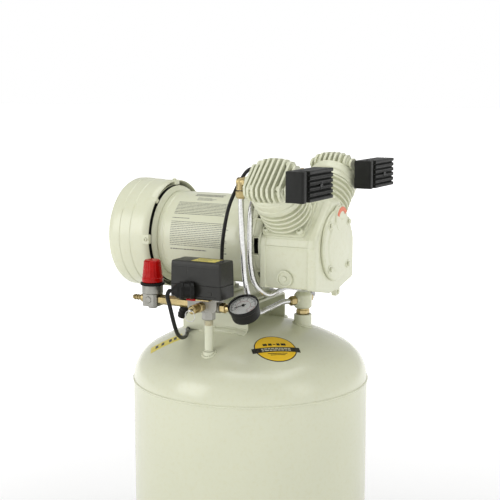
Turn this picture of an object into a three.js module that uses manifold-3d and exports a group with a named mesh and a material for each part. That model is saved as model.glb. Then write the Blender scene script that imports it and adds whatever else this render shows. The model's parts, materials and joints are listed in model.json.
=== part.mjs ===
// Vertical tank air compressor: an upright receiver on three feet, with a motor and a
// V-twin oil-less pump on a saddle on its top head, and the controls on a riser beside it.
// Units are millimetres and +Z is up. The upper group has its origin on the motor axis,
// straight above the tank axis; the motor axis runs along X, with the pump at +X and the
// cooling fan at -X. The controls stand on the -Y side.

import * as THREE from 'three';
import { mergeVertices } from 'three/addons/utils/BufferGeometryUtils.js';
import Module from 'manifold-3d';

const wasm = await Module();
wasm.setup();

// ---------------------------------------------------------------- driving sizes

const GAP = 0.3; // clearance between pieces that touch
const RUN = 0.6; // clearance round a piece that turns or slides

const TANK_RADIUS = 198;
const TANK_WALL = 3;
const TANK_BODY = 266; // straight length between the two heads
const CROWN_PER_RADIUS = 1.67; // deep dished head: crown and knuckle radii
const KNUCKLE_PER_RADIUS = 0.31;
const GROUND_CLEARANCE = 50; // floor to the lowest point of the bottom head
const LEG_COUNT = 3;
const LEG_WIDTH = 56;
const LEG_PLATE = 4;
const LEG_RADIUS = 176; // outer face of a leg, from the tank axis
const FOOT_RADIUS = 21;
const FOOT_HEIGHT = 18;
const STUD_RADIUS = 4;
const DRAIN_RADIUS = 8;
const DRAIN_REACH = 46;

const AXIS_ABOVE_DOME = 136;
const MOTOR_RADIUS = 74;
const SHELL_WALL = 3;
const SHELL_START = -138;
const SHELL_END = 40;
const STATOR_START = -50;
const STATOR_END = 10;
const WINDING_LENGTH = 18;
const ROTOR_RADIUS = 43;
const MOTOR_FOOT_HEIGHT = 25; // motor shell to the saddle's top face
const BELL_RIM = 10.5; // rear end bell, out from the motor shell
const BELL_LENGTH = 21;
const COWL_GAP = 6.5; // air slot round the rear end bell
const COWL_WALL = 1.5;
const COWL_FRONT = -144;
const COWL_REAR = -228;
const SHAFT_RADIUS = 9;
const BEARING_RADIUS = 17.5;
const BEARING_WIDTH = 11;
const FAN_RADIUS = 78;
const FAN_BLADES = 8;

const SADDLE_START = -91;
const SADDLE_END = 31.5;
const SADDLE_HALF_WIDTH = 70;
const SADDLE_PLATE = 4;
const SADDLE_LIP = 9;

const CASE_START = 58.5;
const CASE_END = 155;
const CASE_HALF_WIDTH = 78;
const CASE_BOTTOM = -78;
const CASE_TOP = 73;
const CASE_WALL = 8;
const CASE_CAVITY = 52;
const COVER_RADIUS = 58;
const COVER_THICKNESS = 7.2;
const DECK = 63; // crank axis to the face that a cylinder stands on
const BORE_RADIUS = 30;
const CYLINDER_LENGTH = 55;
const CYLINDER_WALL = 5;
const FIN_RADIUS = 41;
const FIN_COUNT = 5;
const FIN_THICKNESS = 4;
const HEAD_RADIUS = 42;
const HEAD_HEIGHT = 54;
const HEAD_BASE = 28;
const HEAD_FINS = 9;
const HEAD_FIN_THICKNESS = 3.2;
const HEAD_BOSS_SPACING = 49;
const CRANK_THROW = 9;
const PIN_RADIUS = 9;
const ROD_THICKNESS = 10;
const ROD_RING_WALL = 5;
const PISTON_THICKNESS = 8;
const FRONT_BANK_X = 95;
const REAR_BANK_X = 108;

const FILTER_FACE = 186; // pump-side face of the intake filters
const FILTER_DEPTH = 31;
const FILTER_WIDTH = 102;
const FILTER_HEIGHT = 46;
const FRONT_FILTER_Y = -132; // filter centres, sideways from the crank axis
const REAR_FILTER_Y = 125;
const FILTER_LEVEL = 108;
const FILTER_RIBS = 6;
const FILTER_END = 14; // plain end of the filter's base, beside its ribbed cover

const TUBE_RADIUS = 4.5;
const NYLON_RADIUS = 3;
const LEAD_RADIUS = 3.3;
const NUT_RADIUS = 8.6;
const PORT_RADIUS = 7.2;
const ELBOW_X = 39.5;
const ELBOW_RADIUS = 6.5;

const VALVE_X = 77;
const VALVE_Y = 45;
const VALVE_RADIUS = 15;
const VALVE_BOTTOM = -118.7;
const VALVE_TOP = -92;
const VALVE_BOSS_HEIGHT = 19;
const VALVE_PORT_LEVEL = -105;

const LINE_Y = -140; // the controls hang on one line at this place
const LINE_Z = -88;
const PIPE_RADIUS = 6.85;
const RISER_BOSS_HEIGHT = 4;
const MANIFOLD_START = -32;
const MANIFOLD_END = 21;
const MANIFOLD_DEPTH = 24;
const MANIFOLD_BOTTOM = -98;
const HEX_PORT_BOTTOM = -112;
const SWITCH_START = -55;
const SWITCH_END = 36;
const SWITCH_FRONT = -165;
const SWITCH_BACK = -121;
const SWITCH_BOTTOM = -75;
const SWITCH_SPLIT = -54;
const SWITCH_TOP = -17;
const COVER_WALL = 2.2;
const REGULATOR_X = -105;
const REGULATOR_SIZE = 27;
const BONNET_RADIUS = 17.2;
const KNOB_RADIUS = 17.5;
const KNOB_TOP_RADIUS = 13.6;
const KNOB_BOTTOM = -60;
const KNOB_TOP = -24;
const SPINDLE_RADIUS = 4;
const GAUGE_X = 65;
const GAUGE_RADIUS = 24.6;
const GAUGE_DEPTH = 25;
const GAUGE_TILT = 30; // degrees of the dial from facing straight up
const SAFETY_X = -6;
const SAFETY_RADIUS = 6.8;
const SAFETY_LENGTH = 31;
const RING_RADIUS = 8.7;

// ---------------------------------------------------------------- colours

const CREAM = 0xd4d5bc;
const BLACK = 0x1c1c1a;
const GREY = 0x4e4f4b;
const BRASS = 0xb9913f;
const ALUMINIUM = 0xc9cacb;
const ZINC = 0x8f8d84;
const STEEL = 0x9a9b9d;
const LAMINATED = 0x6f7072;
const RED = 0xc01a12;

// ---------------------------------------------------------------- geometry helpers

function signedVolume(position, index) {
  const [a, b, c] = [new THREE.Vector3(), new THREE.Vector3(), new THREE.Vector3()];
  let volume = 0;
  for (let i = 0; i < index.length; i += 3) {
    a.fromBufferAttribute(position, index[i]);
    b.fromBufferAttribute(position, index[i + 1]);
    c.fromBufferAttribute(position, index[i + 2]);
    volume += a.dot(b.cross(c)) / 6;
  }
  return volume;
}

// A closed geometry as a manifold solid, with its faces turned outwards.
function solid(geometry) {
  const bare = geometry.clone();
  bare.deleteAttribute('normal');
  bare.deleteAttribute('uv');
  const merged = mergeVertices(bare, 1e-4);
  const triVerts = new Uint32Array(merged.index.array);
  if (signedVolume(merged.attributes.position, triVerts) < 0) {
    for (let i = 0; i < triVerts.length; i += 3) {
      [triVerts[i], triVerts[i + 1]] = [triVerts[i + 1], triVerts[i]];
    }
  }
  const vertProperties = new Float32Array(merged.attributes.position.array);
  return new wasm.Manifold(new wasm.Mesh({ numProp: 3, vertProperties, triVerts }));
}

function geometryOf(body) {
  const mesh = body.getMesh();
  const geometry = new THREE.BufferGeometry();
  geometry.setAttribute('position', new THREE.BufferAttribute(mesh.vertProperties, 3));
  geometry.setIndex(new THREE.BufferAttribute(mesh.triVerts, 1));
  geometry.computeVertexNormals();
  return geometry;
}

function join(...bodies) {
  return bodies.reduce((sum, body) => sum.add(body));
}

function cut(body, ...tools) {
  return tools.reduce((rest, tool) => rest.subtract(tool), body);
}

function box(x0, x1, y0, y1, z0, z1) {
  const geometry = new THREE.BoxGeometry(x1 - x0, y1 - y0, z1 - z0);
  return solid(geometry.translate((x0 + x1) / 2, (y0 + y1) / 2, (z0 + z1) / 2));
}

// Turns a geometry made along +Z so that it runs along the given direction from a point.
function aim(geometry, from, direction) {
  const unit = new THREE.Vector3(...direction).normalize();
  const turn = new THREE.Quaternion().setFromUnitVectors(new THREE.Vector3(0, 0, 1), unit);
  return geometry.applyQuaternion(turn).translate(...from);
}

// A straight round or tapered bar between two points.
function bar(from, to, radius, sides = 20, endRadius = radius) {
  const span = new THREE.Vector3(...to).sub(new THREE.Vector3(...from));
  const length = span.length();
  const geometry = new THREE.CylinderGeometry(endRadius, radius, length, sides);
  geometry.rotateX(Math.PI / 2).translate(0, 0, length / 2);
  return solid(aim(geometry, from, span.toArray()));
}

// A turned solid: the outline lists [along, radius] pairs, and the axis starts at a point.
function turned(outline, from = [0, 0, 0], direction = [0, 0, 1], sides = 32) {
  const points = outline.map(([along, radius]) => new THREE.Vector2(radius, along));
  const geometry = new THREE.LatheGeometry(points, sides).rotateX(Math.PI / 2);
  return solid(aim(geometry, from, direction));
}

// A ring-shaped turned solid, whose outline closes on itself.
function turnedRing(outline, from, direction, sides = 32) {
  return turned([...outline, outline[0]], from, direction, sides);
}

// A flat outline in Y and Z, pulled along X.
function prismX(outline, x0, x1) {
  const shape = new THREE.Shape(outline.map(([y, z]) => new THREE.Vector2(y, z)));
  const geometry = new THREE.ExtrudeGeometry(shape, { depth: x1 - x0, bevelEnabled: false });
  const toYZ = new THREE.Matrix4().makeBasis(
    new THREE.Vector3(0, 1, 0), new THREE.Vector3(0, 0, 1), new THREE.Vector3(1, 0, 0));
  return solid(geometry.applyMatrix4(toYZ).translate(x0, 0, 0));
}

// A flat outline in X and Z, pulled along Y.
function prismY(outline, y0, y1) {
  const shape = new THREE.Shape(outline.map(([x, z]) => new THREE.Vector2(x, z)));
  const geometry = new THREE.ExtrudeGeometry(shape, { depth: y1 - y0, bevelEnabled: false });
  return solid(geometry.rotateX(Math.PI / 2).translate(0, y1, 0));
}

// A round tube that follows a smooth curve through the points.
function tube(points, radius, sides, steps) {
  const path = new THREE.CatmullRomCurve3(
    points.map((point) => new THREE.Vector3(...point)), false, 'centripetal');
  const ring = [];
  for (let i = 0; i < sides; i += 1) {
    const angle = (2 * Math.PI * i) / sides;
    ring.push(new THREE.Vector2(radius * Math.cos(angle), radius * Math.sin(angle)));
  }
  return new THREE.ExtrudeGeometry(new THREE.Shape(ring), { steps, extrudePath: path });
}

function piece(name, shape, color, roughness, metalness) {
  const geometry = shape.isBufferGeometry ? shape : geometryOf(shape);
  const material = new THREE.MeshStandardMaterial({ color, roughness, metalness });
  const mesh = new THREE.Mesh(geometry, material);
  mesh.name = name;
  return mesh;
}

const painted = (name, shape) => piece(name, shape, CREAM, 0.42, 0.1);
const plastic = (name, shape) => piece(name, shape, BLACK, 0.5, 0);
const brass = (name, shape) => piece(name, shape, BRASS, 0.35, 0.9);
const metal = (name, shape, color = STEEL) => piece(name, shape, color, 0.4, 0.85);

// ---------------------------------------------------------------- tank

// The outline of a dished head as [radius, height] pairs, from its rim up to its pole.
function headOutline(offset, steps) {
  const rim = TANK_RADIUS + offset;
  const knuckle = TANK_RADIUS * KNUCKLE_PER_RADIUS + offset;
  const crown = TANK_RADIUS * CROWN_PER_RADIUS + offset;
  const inset = rim - knuckle;
  const drop = Math.sqrt((crown - knuckle) ** 2 - inset ** 2);
  const meet = Math.atan2(drop, inset);
  const outline = [];
  for (let i = 0; i < steps; i += 1) {
    const angle = (meet * i) / steps;
    outline.push([inset + knuckle * Math.cos(angle), knuckle * Math.sin(angle)]);
  }
  for (let i = 0; i <= steps; i += 1) {
    const angle = meet + ((Math.PI / 2 - meet) * i) / steps;
    outline.push([i === steps ? 0 : crown * Math.cos(angle), crown * Math.sin(angle) - drop]);
  }
  return outline;
}

const HEAD_RISE = headOutline(0, 3).at(-1)[1];
const LOWER_RIM = GROUND_CLEARANCE + HEAD_RISE;
const UPPER_RIM = LOWER_RIM + TANK_BODY;
const AXIS_HEIGHT = UPPER_RIM + HEAD_RISE + AXIS_ABOVE_DOME;

// The closed tank form, grown by an offset, in the frame whose floor is at z = 0.
function tankForm(offset, steps = 3, sides = 32) {
  const head = headOutline(offset, steps);
  const lower = [...head].reverse().map(([radius, height]) => [LOWER_RIM - height, radius]);
  const upper = head.map(([radius, height]) => [UPPER_RIM + height, radius]);
  return turned([...lower, ...upper], [0, 0, 0], [0, 0, 1], sides);
}

// The same form in the frame of the motor axis.
function domeForm(offset) {
  return tankForm(offset).translate([0, 0, -AXIS_HEIGHT]);
}

// Height of the top head's outer face at a radius, in the frame of the motor axis.
function domeLevel(radius) {
  const crown = TANK_RADIUS * CROWN_PER_RADIUS;
  return Math.sqrt(crown ** 2 - radius ** 2) - crown - AXIS_ABOVE_DOME;
}

const VALVE_BOSS_TOP = domeLevel(Math.hypot(VALVE_X, VALVE_Y)) + VALVE_BOSS_HEIGHT;
const RISER_BOSS_TOP = domeLevel(Math.abs(LINE_Y)) + RISER_BOSS_HEIGHT;

function makeTank() {
  const boss = (x, y, top, radius) => {
    const from = [x, y, AXIS_HEIGHT + top - 40];
    return bar(from, [x, y, AXIS_HEIGHT + top], radius, 16);
  };
  const bottom = [0, 0, GROUND_CLEARANCE - 6];
  const outside = join(
    tankForm(0),
    boss(VALVE_X, VALVE_Y, VALVE_BOSS_TOP, VALVE_RADIUS),
    boss(0, LINE_Y, RISER_BOSS_TOP, PIPE_RADIUS + 3),
    bar(bottom, [0, 0, LOWER_RIM], DRAIN_RADIUS + 6, 16),
  );
  return painted('tank_shell', cut(
    outside,
    tankForm(-TANK_WALL, 2, 24),
    boss(VALVE_X, VALVE_Y, VALVE_BOSS_TOP + 1, VALVE_RADIUS - 5),
    boss(0, LINE_Y, RISER_BOSS_TOP + 1, PIPE_RADIUS - 1),
    bar([0, 0, 0], [0, 0, LOWER_RIM], DRAIN_RADIUS, 12),
  ));
}

// A bent leg: an upright strap with two side gussets and a pad turned inwards.
function makeLeg(index) {
  const half = LEG_WIDTH / 2;
  const top = LOWER_RIM + 20;
  const inner = LEG_RADIUS - 62;
  const gusset = [
    [LEG_RADIUS, FOOT_HEIGHT + GAP],
    [LEG_RADIUS, LOWER_RIM - 15],
    [inner, LOWER_RIM - 15],
    [inner + 34, FOOT_HEIGHT + GAP],
  ];
  const pad = FOOT_HEIGHT + GAP;
  const body = join(
    box(LEG_RADIUS - LEG_PLATE, LEG_RADIUS, -half, half, pad, top),
    box(LEG_RADIUS - 46, LEG_RADIUS, -half, half, pad, pad + LEG_PLATE),
    prismY(gusset, -half, LEG_PLATE - half),
    prismY(gusset, half - LEG_PLATE, half),
  );
  const studHole = bar([LEG_RADIUS - 23, 0, 0], [LEG_RADIUS - 23, 0, pad + 20], STUD_RADIUS + 0.5);
  const tank = tankForm(GAP).rotate([0, 0, -THREE.MathUtils.radToDeg(legAngle(index))]);
  const leg = painted(`leg_${index + 1}`, cut(body, studHole, tank));
  leg.rotation.z = legAngle(index);
  return leg;
}

function legAngle(index) {
  return Math.PI / 2 + (2 * Math.PI * index) / LEG_COUNT;
}

// A moulded rubber foot with its stud and nut.
function makeFoot(index) {
  const padTop = FOOT_HEIGHT + 2 * GAP + LEG_PLATE;
  const outline = [
    [0, 0],
    [0, FOOT_RADIUS - 2],
    [FOOT_HEIGHT * 0.4, FOOT_RADIUS],
    [FOOT_HEIGHT, FOOT_RADIUS - 3],
    [FOOT_HEIGHT, STUD_RADIUS],
    [padTop, STUD_RADIUS],
    [padTop, STUD_RADIUS + 4],
    [padTop + 6, STUD_RADIUS + 4],
    [padTop + 6, 0],
  ];
  const foot = piece(`foot_${index + 1}`, turned(outline, [0, 0, 0], [0, 0, 1], 12), BLACK, 0.8, 0);
  const angle = legAngle(index);
  const reach = LEG_RADIUS - 23;
  foot.position.set(reach * Math.cos(angle), reach * Math.sin(angle), 0);
  return foot;
}

function makeDrain() {
  const level = GROUND_CLEARANCE - 20;
  const body = join(
    bar([0, 0, level], [0, 0, GROUND_CLEARANCE + 10], DRAIN_RADIUS - GAP, 12),
    bar([0, 6, level], [0, -DRAIN_REACH, level], DRAIN_RADIUS, 12),
  );
  const bore = bar([0, -DRAIN_REACH - 1, level], [0, 0, level], 3.2, 12);
  const stem = bar([0, 12 - DRAIN_REACH, level], [0, -DRAIN_REACH - 8, level], 3.2 - GAP, 12);
  const wing = box(-13, 13, -DRAIN_REACH - 14, -DRAIN_REACH - 8.01, level - 4, level + 4);
  return [
    brass('drain_valve', cut(body, bore)),
    brass('drain_wing', join(stem, wing.translate([0, 0.1, 0]))),
  ];
}

// ---------------------------------------------------------------- saddle

const SADDLE_TOP = -MOTOR_RADIUS - MOTOR_FOOT_HEIGHT;
const SADDLE_CORNER = Math.hypot(SADDLE_START, SADDLE_HALF_WIDTH);
const SADDLE_BOTTOM = domeLevel(SADDLE_CORNER) + LEAD_RADIUS * 2 + 1;
const LEAD_ENTRY_X = -78;
const LEAD_ENTRY_Y = -25;

// A bent channel over the dome, whose lower edges end in narrow welded lips.
function makeSaddle() {
  const w = SADDLE_HALF_WIDTH;
  const inside = w - SADDLE_PLATE;
  const lipBand = box(-55, SADDLE_END, -w - SADDLE_LIP, w + SADDLE_LIP, SADDLE_BOTTOM - 30, -100);
  const lips = cut(
    domeForm(SADDLE_PLATE + GAP).intersect(lipBand),
    box(-300, 300, -inside, inside, -300, 0),
  );
  const channel = cut(
    box(SADDLE_START, SADDLE_END, -w, w, SADDLE_BOTTOM, SADDLE_TOP),
    box(SADDLE_START - 1, SADDLE_END + 1, -inside, inside, -400, SADDLE_TOP - SADDLE_PLATE),
  );
  const leadNotch = box(
    SADDLE_START - 1, SADDLE_START + 21, -w - 1, -inside + 1, -400, SADDLE_BOTTOM + 5);
  const leadHole = bar(
    [LEAD_ENTRY_X, LEAD_ENTRY_Y, -200], [LEAD_ENTRY_X, LEAD_ENTRY_Y, 0], LEAD_RADIUS + 2);
  return painted('motor_saddle', cut(join(channel, lips), domeForm(GAP), leadNotch, leadHole));
}

// ---------------------------------------------------------------- motor

// One welded motor foot: an upright web on a flat base.
function motorFoot(x) {
  const base = SADDLE_TOP + GAP;
  const top = -MOTOR_RADIUS * 0.7;
  const web = [[-54, base], [54, base], [46, base + 14], [40, top], [-40, top], [-46, base + 14]];
  return join(prismX(web, x - 2, x + 2), box(x - 15, x + 15, -60, 60, base, base + 4));
}

function makeMotorShell() {
  const outside = join(
    bar([SHELL_START, 0, 0], [SHELL_END, 0, 0], MOTOR_RADIUS, 32),
    motorFoot(-56),
    motorFoot(12),
  );
  const inner = MOTOR_RADIUS - SHELL_WALL;
  const inside = bar([SHELL_START - 1, 0, 0], [SHELL_END + 1, 0, 0], inner, 32);
  const leadHole = bar(
    [LEAD_ENTRY_X, LEAD_ENTRY_Y, -92], [LEAD_ENTRY_X, LEAD_ENTRY_Y, 0], LEAD_RADIUS + 1);
  return painted('motor_shell', cut(outside, inside, leadHole));
}

function makeStator() {
  const outer = MOTOR_RADIUS - SHELL_WALL - RUN;
  const bore = ROTOR_RADIUS + RUN;
  const coil = [bore + 3, outer - 5];
  const outline = [
    [STATOR_START, bore],
    [STATOR_START, coil[0]],
    [STATOR_START - WINDING_LENGTH, coil[0] + 4],
    [STATOR_START - WINDING_LENGTH, coil[1] - 3],
    [STATOR_START, coil[1]],
    [STATOR_START, outer],
    [STATOR_END, outer],
    [STATOR_END, coil[1]],
    [STATOR_END + WINDING_LENGTH, coil[1] - 3],
    [STATOR_END + WINDING_LENGTH, coil[0] + 4],
    [STATOR_END, coil[0]],
    [STATOR_END, bore],
  ];
  return metal('stator', turnedRing(outline, [0, 0, 0], [1, 0, 0], 20), LAMINATED);
}

function makeRotor() {
  const bore = SHAFT_RADIUS + GAP;
  const outline = [
    [STATOR_START, bore],
    [STATOR_START, ROTOR_RADIUS],
    [STATOR_END, ROTOR_RADIUS],
    [STATOR_END, bore],
  ];
  return metal('rotor_core', turnedRing(outline, [0, 0, 0], [1, 0, 0], 16), LAMINATED);
}

const BELL_RADIUS = MOTOR_RADIUS + BELL_RIM;
const REAR_BELL_FRONT = SHELL_START - GAP;
const REAR_BELL_BACK = REAR_BELL_FRONT - BELL_LENGTH;

// The rear end bell: a dished disc with a flared rim, a bearing seat and air holes.
function makeRearBell() {
  const seat = BEARING_RADIUS + GAP;
  const back = REAR_BELL_BACK;
  const front = REAR_BELL_FRONT;
  const outline = [
    [back, seat],
    [back, BELL_RADIUS - 3],
    [back + 3, BELL_RADIUS],
    [back + 11, BELL_RADIUS],
    [front, MOTOR_RADIUS + 1],
    [front, MOTOR_RADIUS - SHELL_WALL],
    [back + 8, BELL_RADIUS - 6],
    [back + 5, BELL_RADIUS - 8],
    [back + 5, seat + 6],
    [back + BEARING_WIDTH + 2, seat + 5],
    [back + BEARING_WIDTH + 2, seat],
  ];
  const holes = ringOf(6, (angle) => {
    const [y, z] = [48 * Math.cos(angle), 48 * Math.sin(angle)];
    return bar([back - 1, y, z], [back + 6, y, z], 11, 8);
  });
  return painted('end_bell_rear', cut(turnedRing(outline, [0, 0, 0], [1, 0, 0], 28), ...holes));
}

function ringOf(count, make, start = 0) {
  const list = [];
  for (let i = 0; i < count; i += 1) {
    list.push(make(start + (2 * Math.PI * i) / count));
  }
  return list;
}

// The front end bell joins the motor shell to the crankcase and has side windows.
function makeFrontBell() {
  const start = SHELL_END + GAP;
  const end = CASE_START - GAP;
  const wall = 6;
  const outline = [
    [start, MOTOR_RADIUS - wall],
    [start, MOTOR_RADIUS],
    [end, MOTOR_RADIUS],
    [end, BEARING_RADIUS + 3],
    [end - wall, BEARING_RADIUS + 3],
    [end - wall, MOTOR_RADIUS - wall],
  ];
  const window = box(start + 5, end - wall, -8, 8, MOTOR_RADIUS - wall - 4, MOTOR_RADIUS + 4);
  const windows = ringOf(8, (angle) => window.rotate([(angle * 180) / Math.PI, 0, 0]));
  const ring = turnedRing(outline, [0, 0, 0], [1, 0, 0], 32);
  return painted('end_bell_front', cut(ring, ...windows));
}

// The cowl over the fan: a drum with a slotted rear face, held by four tabs.
function makeCowl() {
  const inner = BELL_RADIUS + COWL_GAP;
  const outer = inner + COWL_WALL;
  const swell = 2; // the drum grows in two shallow steps towards the rear
  const outline = [
    [COWL_FRONT, inner],
    [COWL_FRONT, outer],
    [COWL_REAR + 46, outer],
    [COWL_REAR + 44, outer + swell / 2],
    [COWL_REAR + 26, outer + swell / 2],
    [COWL_REAR + 24, outer + swell],
    [COWL_REAR + 7, outer + swell],
    [COWL_REAR + 2, outer - 2],
    [COWL_REAR, outer - 9],
    [COWL_REAR, 20],
    [COWL_REAR + COWL_WALL, 20],
    [COWL_REAR + COWL_WALL, inner - 8],
    [COWL_REAR + 7, inner],
  ];
  const slot = box(COWL_REAR - 1, COWL_REAR + 4, -3.5, 3.5, 30, 76);
  const slots = ringOf(12, (angle) => slot.rotate([(angle * 180) / Math.PI, 0, 0]));
  const tab = box(
    COWL_FRONT - 14, COWL_FRONT, -7, 7, BELL_RADIUS + GAP * 2, inner + COWL_WALL / 2);
  const tabs = ringOf(4, (angle) => tab.rotate([(angle * 180) / Math.PI, 0, 0]));
  const drum = cut(turnedRing(outline, [0, 0, 0], [1, 0, 0], 32), ...slots);
  return painted('fan_cowl', join(drum, ...tabs));
}

const FAN_X = (COWL_REAR + REAR_BELL_BACK) / 2;

function makeFan() {
  const hub = bar([FAN_X - 12, 0, 0], [FAN_X + 12, 0, 0], 17, 20);
  const blade = box(-1.25, 1.25, -13, 13, 14, FAN_RADIUS).rotate([0, 0, 50]);
  const blades = ringOf(FAN_BLADES, (angle) => {
    return blade.rotate([(angle * 180) / Math.PI, 0, 0]).translate([FAN_X, 0, 0]);
  });
  const bore = bar([FAN_X - 13, 0, 0], [FAN_X + 13, 0, 0], SHAFT_RADIUS + GAP, 20);
  return piece('cooling_fan', cut(join(hub, ...blades), bore), BLACK, 0.6, 0);
}

function makeBearing(name, x) {
  const inner = SHAFT_RADIUS + 0.5;
  const outline = [
    [x, inner],
    [x, BEARING_RADIUS],
    [x + BEARING_WIDTH, BEARING_RADIUS],
    [x + BEARING_WIDTH, inner],
  ];
  return metal(name, turnedRing(outline, [0, 0, 0], [1, 0, 0], 16));
}

const WEB_START = CASE_START + CASE_WALL + BEARING_WIDTH + 3;
const WEB_THICKNESS = 9;
const ROD_CLEAR = 1.5;

// The shaft carries the fan, the rotor and, at the pump end, the overhung crank pin.
function makeCrankshaft() {
  const webEnd = WEB_START + WEB_THICKNESS;
  const pinEnd = REAR_BANK_X + ROD_THICKNESS / 2 + ROD_CLEAR;
  const [dy, dz] = [CRANK_THROW * Math.SQRT1_2, CRANK_THROW * Math.SQRT1_2];
  return metal('crankshaft', join(
    bar([FAN_X - 14, 0, 0], [webEnd, 0, 0], SHAFT_RADIUS, 16),
    bar([WEB_START, 0, 0], [webEnd, 0, 0], PIN_RADIUS + CRANK_THROW + 3, 16),
    bar([WEB_START, -dy * 1.6, -dz * 1.6], [webEnd, -dy * 1.6, -dz * 1.6], 26, 16),
    bar([WEB_START, dy, dz], [pinEnd, dy, dz], PIN_RADIUS, 16),
  ));
}

// ---------------------------------------------------------------- pump

const BANKS = [
  { side: 'front', x: FRONT_BANK_X, tilt: 45, filterY: FRONT_FILTER_Y },
  { side: 'rear', x: REAR_BANK_X, tilt: -45, filterY: REAR_FILTER_Y },
];

// A point on a bank, from its place along X, sideways and out along the cylinder axis.
function bankPoint(bank, x, across, out) {
  const angle = THREE.MathUtils.degToRad(bank.tilt);
  const y = across * Math.cos(angle) - out * Math.sin(angle);
  const z = across * Math.sin(angle) + out * Math.cos(angle);
  return [bank.x + x, y, z];
}

function makeCrankcase() {
  const w = CASE_HALF_WIDTH;
  const reach = DECK * Math.SQRT2;
  const half = [
    [12, CASE_BOTTOM],
    [w, CASE_BOTTOM + 14],
    [w, reach - w - 8],
    [w - 4, reach - w + 4],
    [reach - CASE_TOP, CASE_TOP],
  ];
  const outline = [...half, ...[...half].reverse().map(([y, z]) => [-y, z])];
  const cavity = bar([CASE_START + CASE_WALL + BEARING_WIDTH, 0, 0], [CASE_END + 1, 0, 0],
    CASE_CAVITY, 24);
  const seat = bar([CASE_START - 1, 0, 0], [CASE_END, 0, 0], BEARING_RADIUS + GAP, 16);
  const rearLip = turnedRing([
    [CASE_START, SHAFT_RADIUS + 2],
    [CASE_START, BEARING_RADIUS + 1],
    [CASE_START + CASE_WALL - GAP, BEARING_RADIUS + 1],
    [CASE_START + CASE_WALL - GAP, SHAFT_RADIUS + 2],
  ], [0, 0, 0], [1, 0, 0], 16);
  const bores = BANKS.map((bank) => {
    return bar(bankPoint(bank, 0, 0, 0), bankPoint(bank, 0, 0, DECK + 9), BORE_RADIUS + 1, 20);
  });
  const plug = bar([103, -w - 3, -47], [103, 2 - w, -47], 13, 16);
  return painted('crankcase', join(
    cut(prismX(outline, CASE_START, CASE_END), cavity, seat, ...bores), rearLip, plug));
}

function makeCover() {
  const start = CASE_END + GAP;
  const face = start + COVER_THICKNESS;
  const outline = [
    [start, 0],
    [start, COVER_RADIUS],
    [face - 2, COVER_RADIUS],
    [face, COVER_RADIUS - 2],
    [face, 0],
  ];
  return painted('crankcase_cover', turned(outline, [0, 0, 0], [1, 0, 0], 28));
}

// A cast cylinder with a square foot and round cooling fins, the last of them its flange.
function makeCylinder(bank) {
  const foot = 38;
  const footX = Math.min(foot, FRONT_BANK_X - CASE_START - 0.5);
  const start = DECK + GAP;
  const end = start + CYLINDER_LENGTH;
  const barrel = BORE_RADIUS + CYLINDER_WALL;
  const firstFin = MOTOR_RADIUS + GAP; // it passes over the front end bell
  const pitch = (end - FIN_THICKNESS - firstFin) / (FIN_COUNT - 1);
  const outline = [[start, BORE_RADIUS], [start, barrel]];
  for (let i = 0; i < FIN_COUNT - 1; i += 1) {
    const low = firstFin + i * pitch;
    outline.push([low, barrel], [low, FIN_RADIUS]);
    outline.push([low + FIN_THICKNESS, FIN_RADIUS], [low + FIN_THICKNESS, barrel]);
  }
  outline.push([end - FIN_THICKNESS, barrel], [end - FIN_THICKNESS, FIN_RADIUS]);
  outline.push([end, FIN_RADIUS], [end, BORE_RADIUS]);
  const sleeve = turnedRing(outline, [0, 0, 0], [0, 0, 1], 16);
  const bore = bar([0, 0, start - 1], [0, 0, end + 1], BORE_RADIUS, 16);
  const plate = cut(box(-footX, footX, -foot, foot, start, start + 6), bore);
  return painted(`cylinder_${bank.side}`, join(sleeve, plate));
}

const HEAD_START = DECK + 2 * GAP + CYLINDER_LENGTH;
const HEAD_TOP = HEAD_START + HEAD_HEIGHT;
const PORT_LEVEL = HEAD_START + 30; // inlet and outlet, out along the cylinder axis
const PORT_FACE = HEAD_RADIUS + 3;

// A finned head: a round base, upright fins that fall away to the sides, four bolt bosses.
function makeHead(bank) {
  const width = HEAD_RADIUS - 5;
  const reach = HEAD_RADIUS - 3;
  const shoulder = 8;
  const pitch = (2 * width - HEAD_FIN_THICKNESS) / (HEAD_FINS - 1);
  const root = HEAD_START + HEAD_BASE;
  const fins = [];
  for (let i = 0; i < HEAD_FINS; i += 1) {
    const x = i * pitch - width;
    const aside = Math.abs(2 * i / (HEAD_FINS - 1) - 1); // 0 in the middle, 1 at the sides
    const end = reach - 8 * aside ** 4;
    const crown = HEAD_TOP - 7 * aside ** 2;
    const half = [[end, root - 1], [end, crown - shoulder], [end - shoulder, crown]];
    const outline = [...half, ...[...half].reverse().map(([y, z]) => [-y, z])];
    fins.push(prismX(outline, x, x + HEAD_FIN_THICKNESS));
  }
  const boss = HEAD_BOSS_SPACING / 2;
  const bosses = [[-boss, -boss], [boss, -boss], [-boss, boss], [boss, boss]].map(([x, y]) => {
    return bar([x, y, root - 1], [x, y, HEAD_TOP - 9], 7, 8);
  });
  const ports = join(
    bar([-PORT_FACE, 0, PORT_LEVEL], [8 - HEAD_RADIUS, 0, PORT_LEVEL], PORT_RADIUS + 3, 12),
    bar([HEAD_RADIUS - 8, 0, PORT_LEVEL], [PORT_FACE, 0, PORT_LEVEL], PORT_RADIUS + 6, 12),
  );
  const base = bar([0, 0, HEAD_START], [0, 0, root], HEAD_RADIUS, 20);
  const pocket = bar([0, 0, HEAD_START - 1], [0, 0, HEAD_START + 8], BORE_RADIUS - 6, 16);
  return painted(`head_${bank.side}`, join(cut(base, pocket), ...fins, ...bosses, ports));
}

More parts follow.
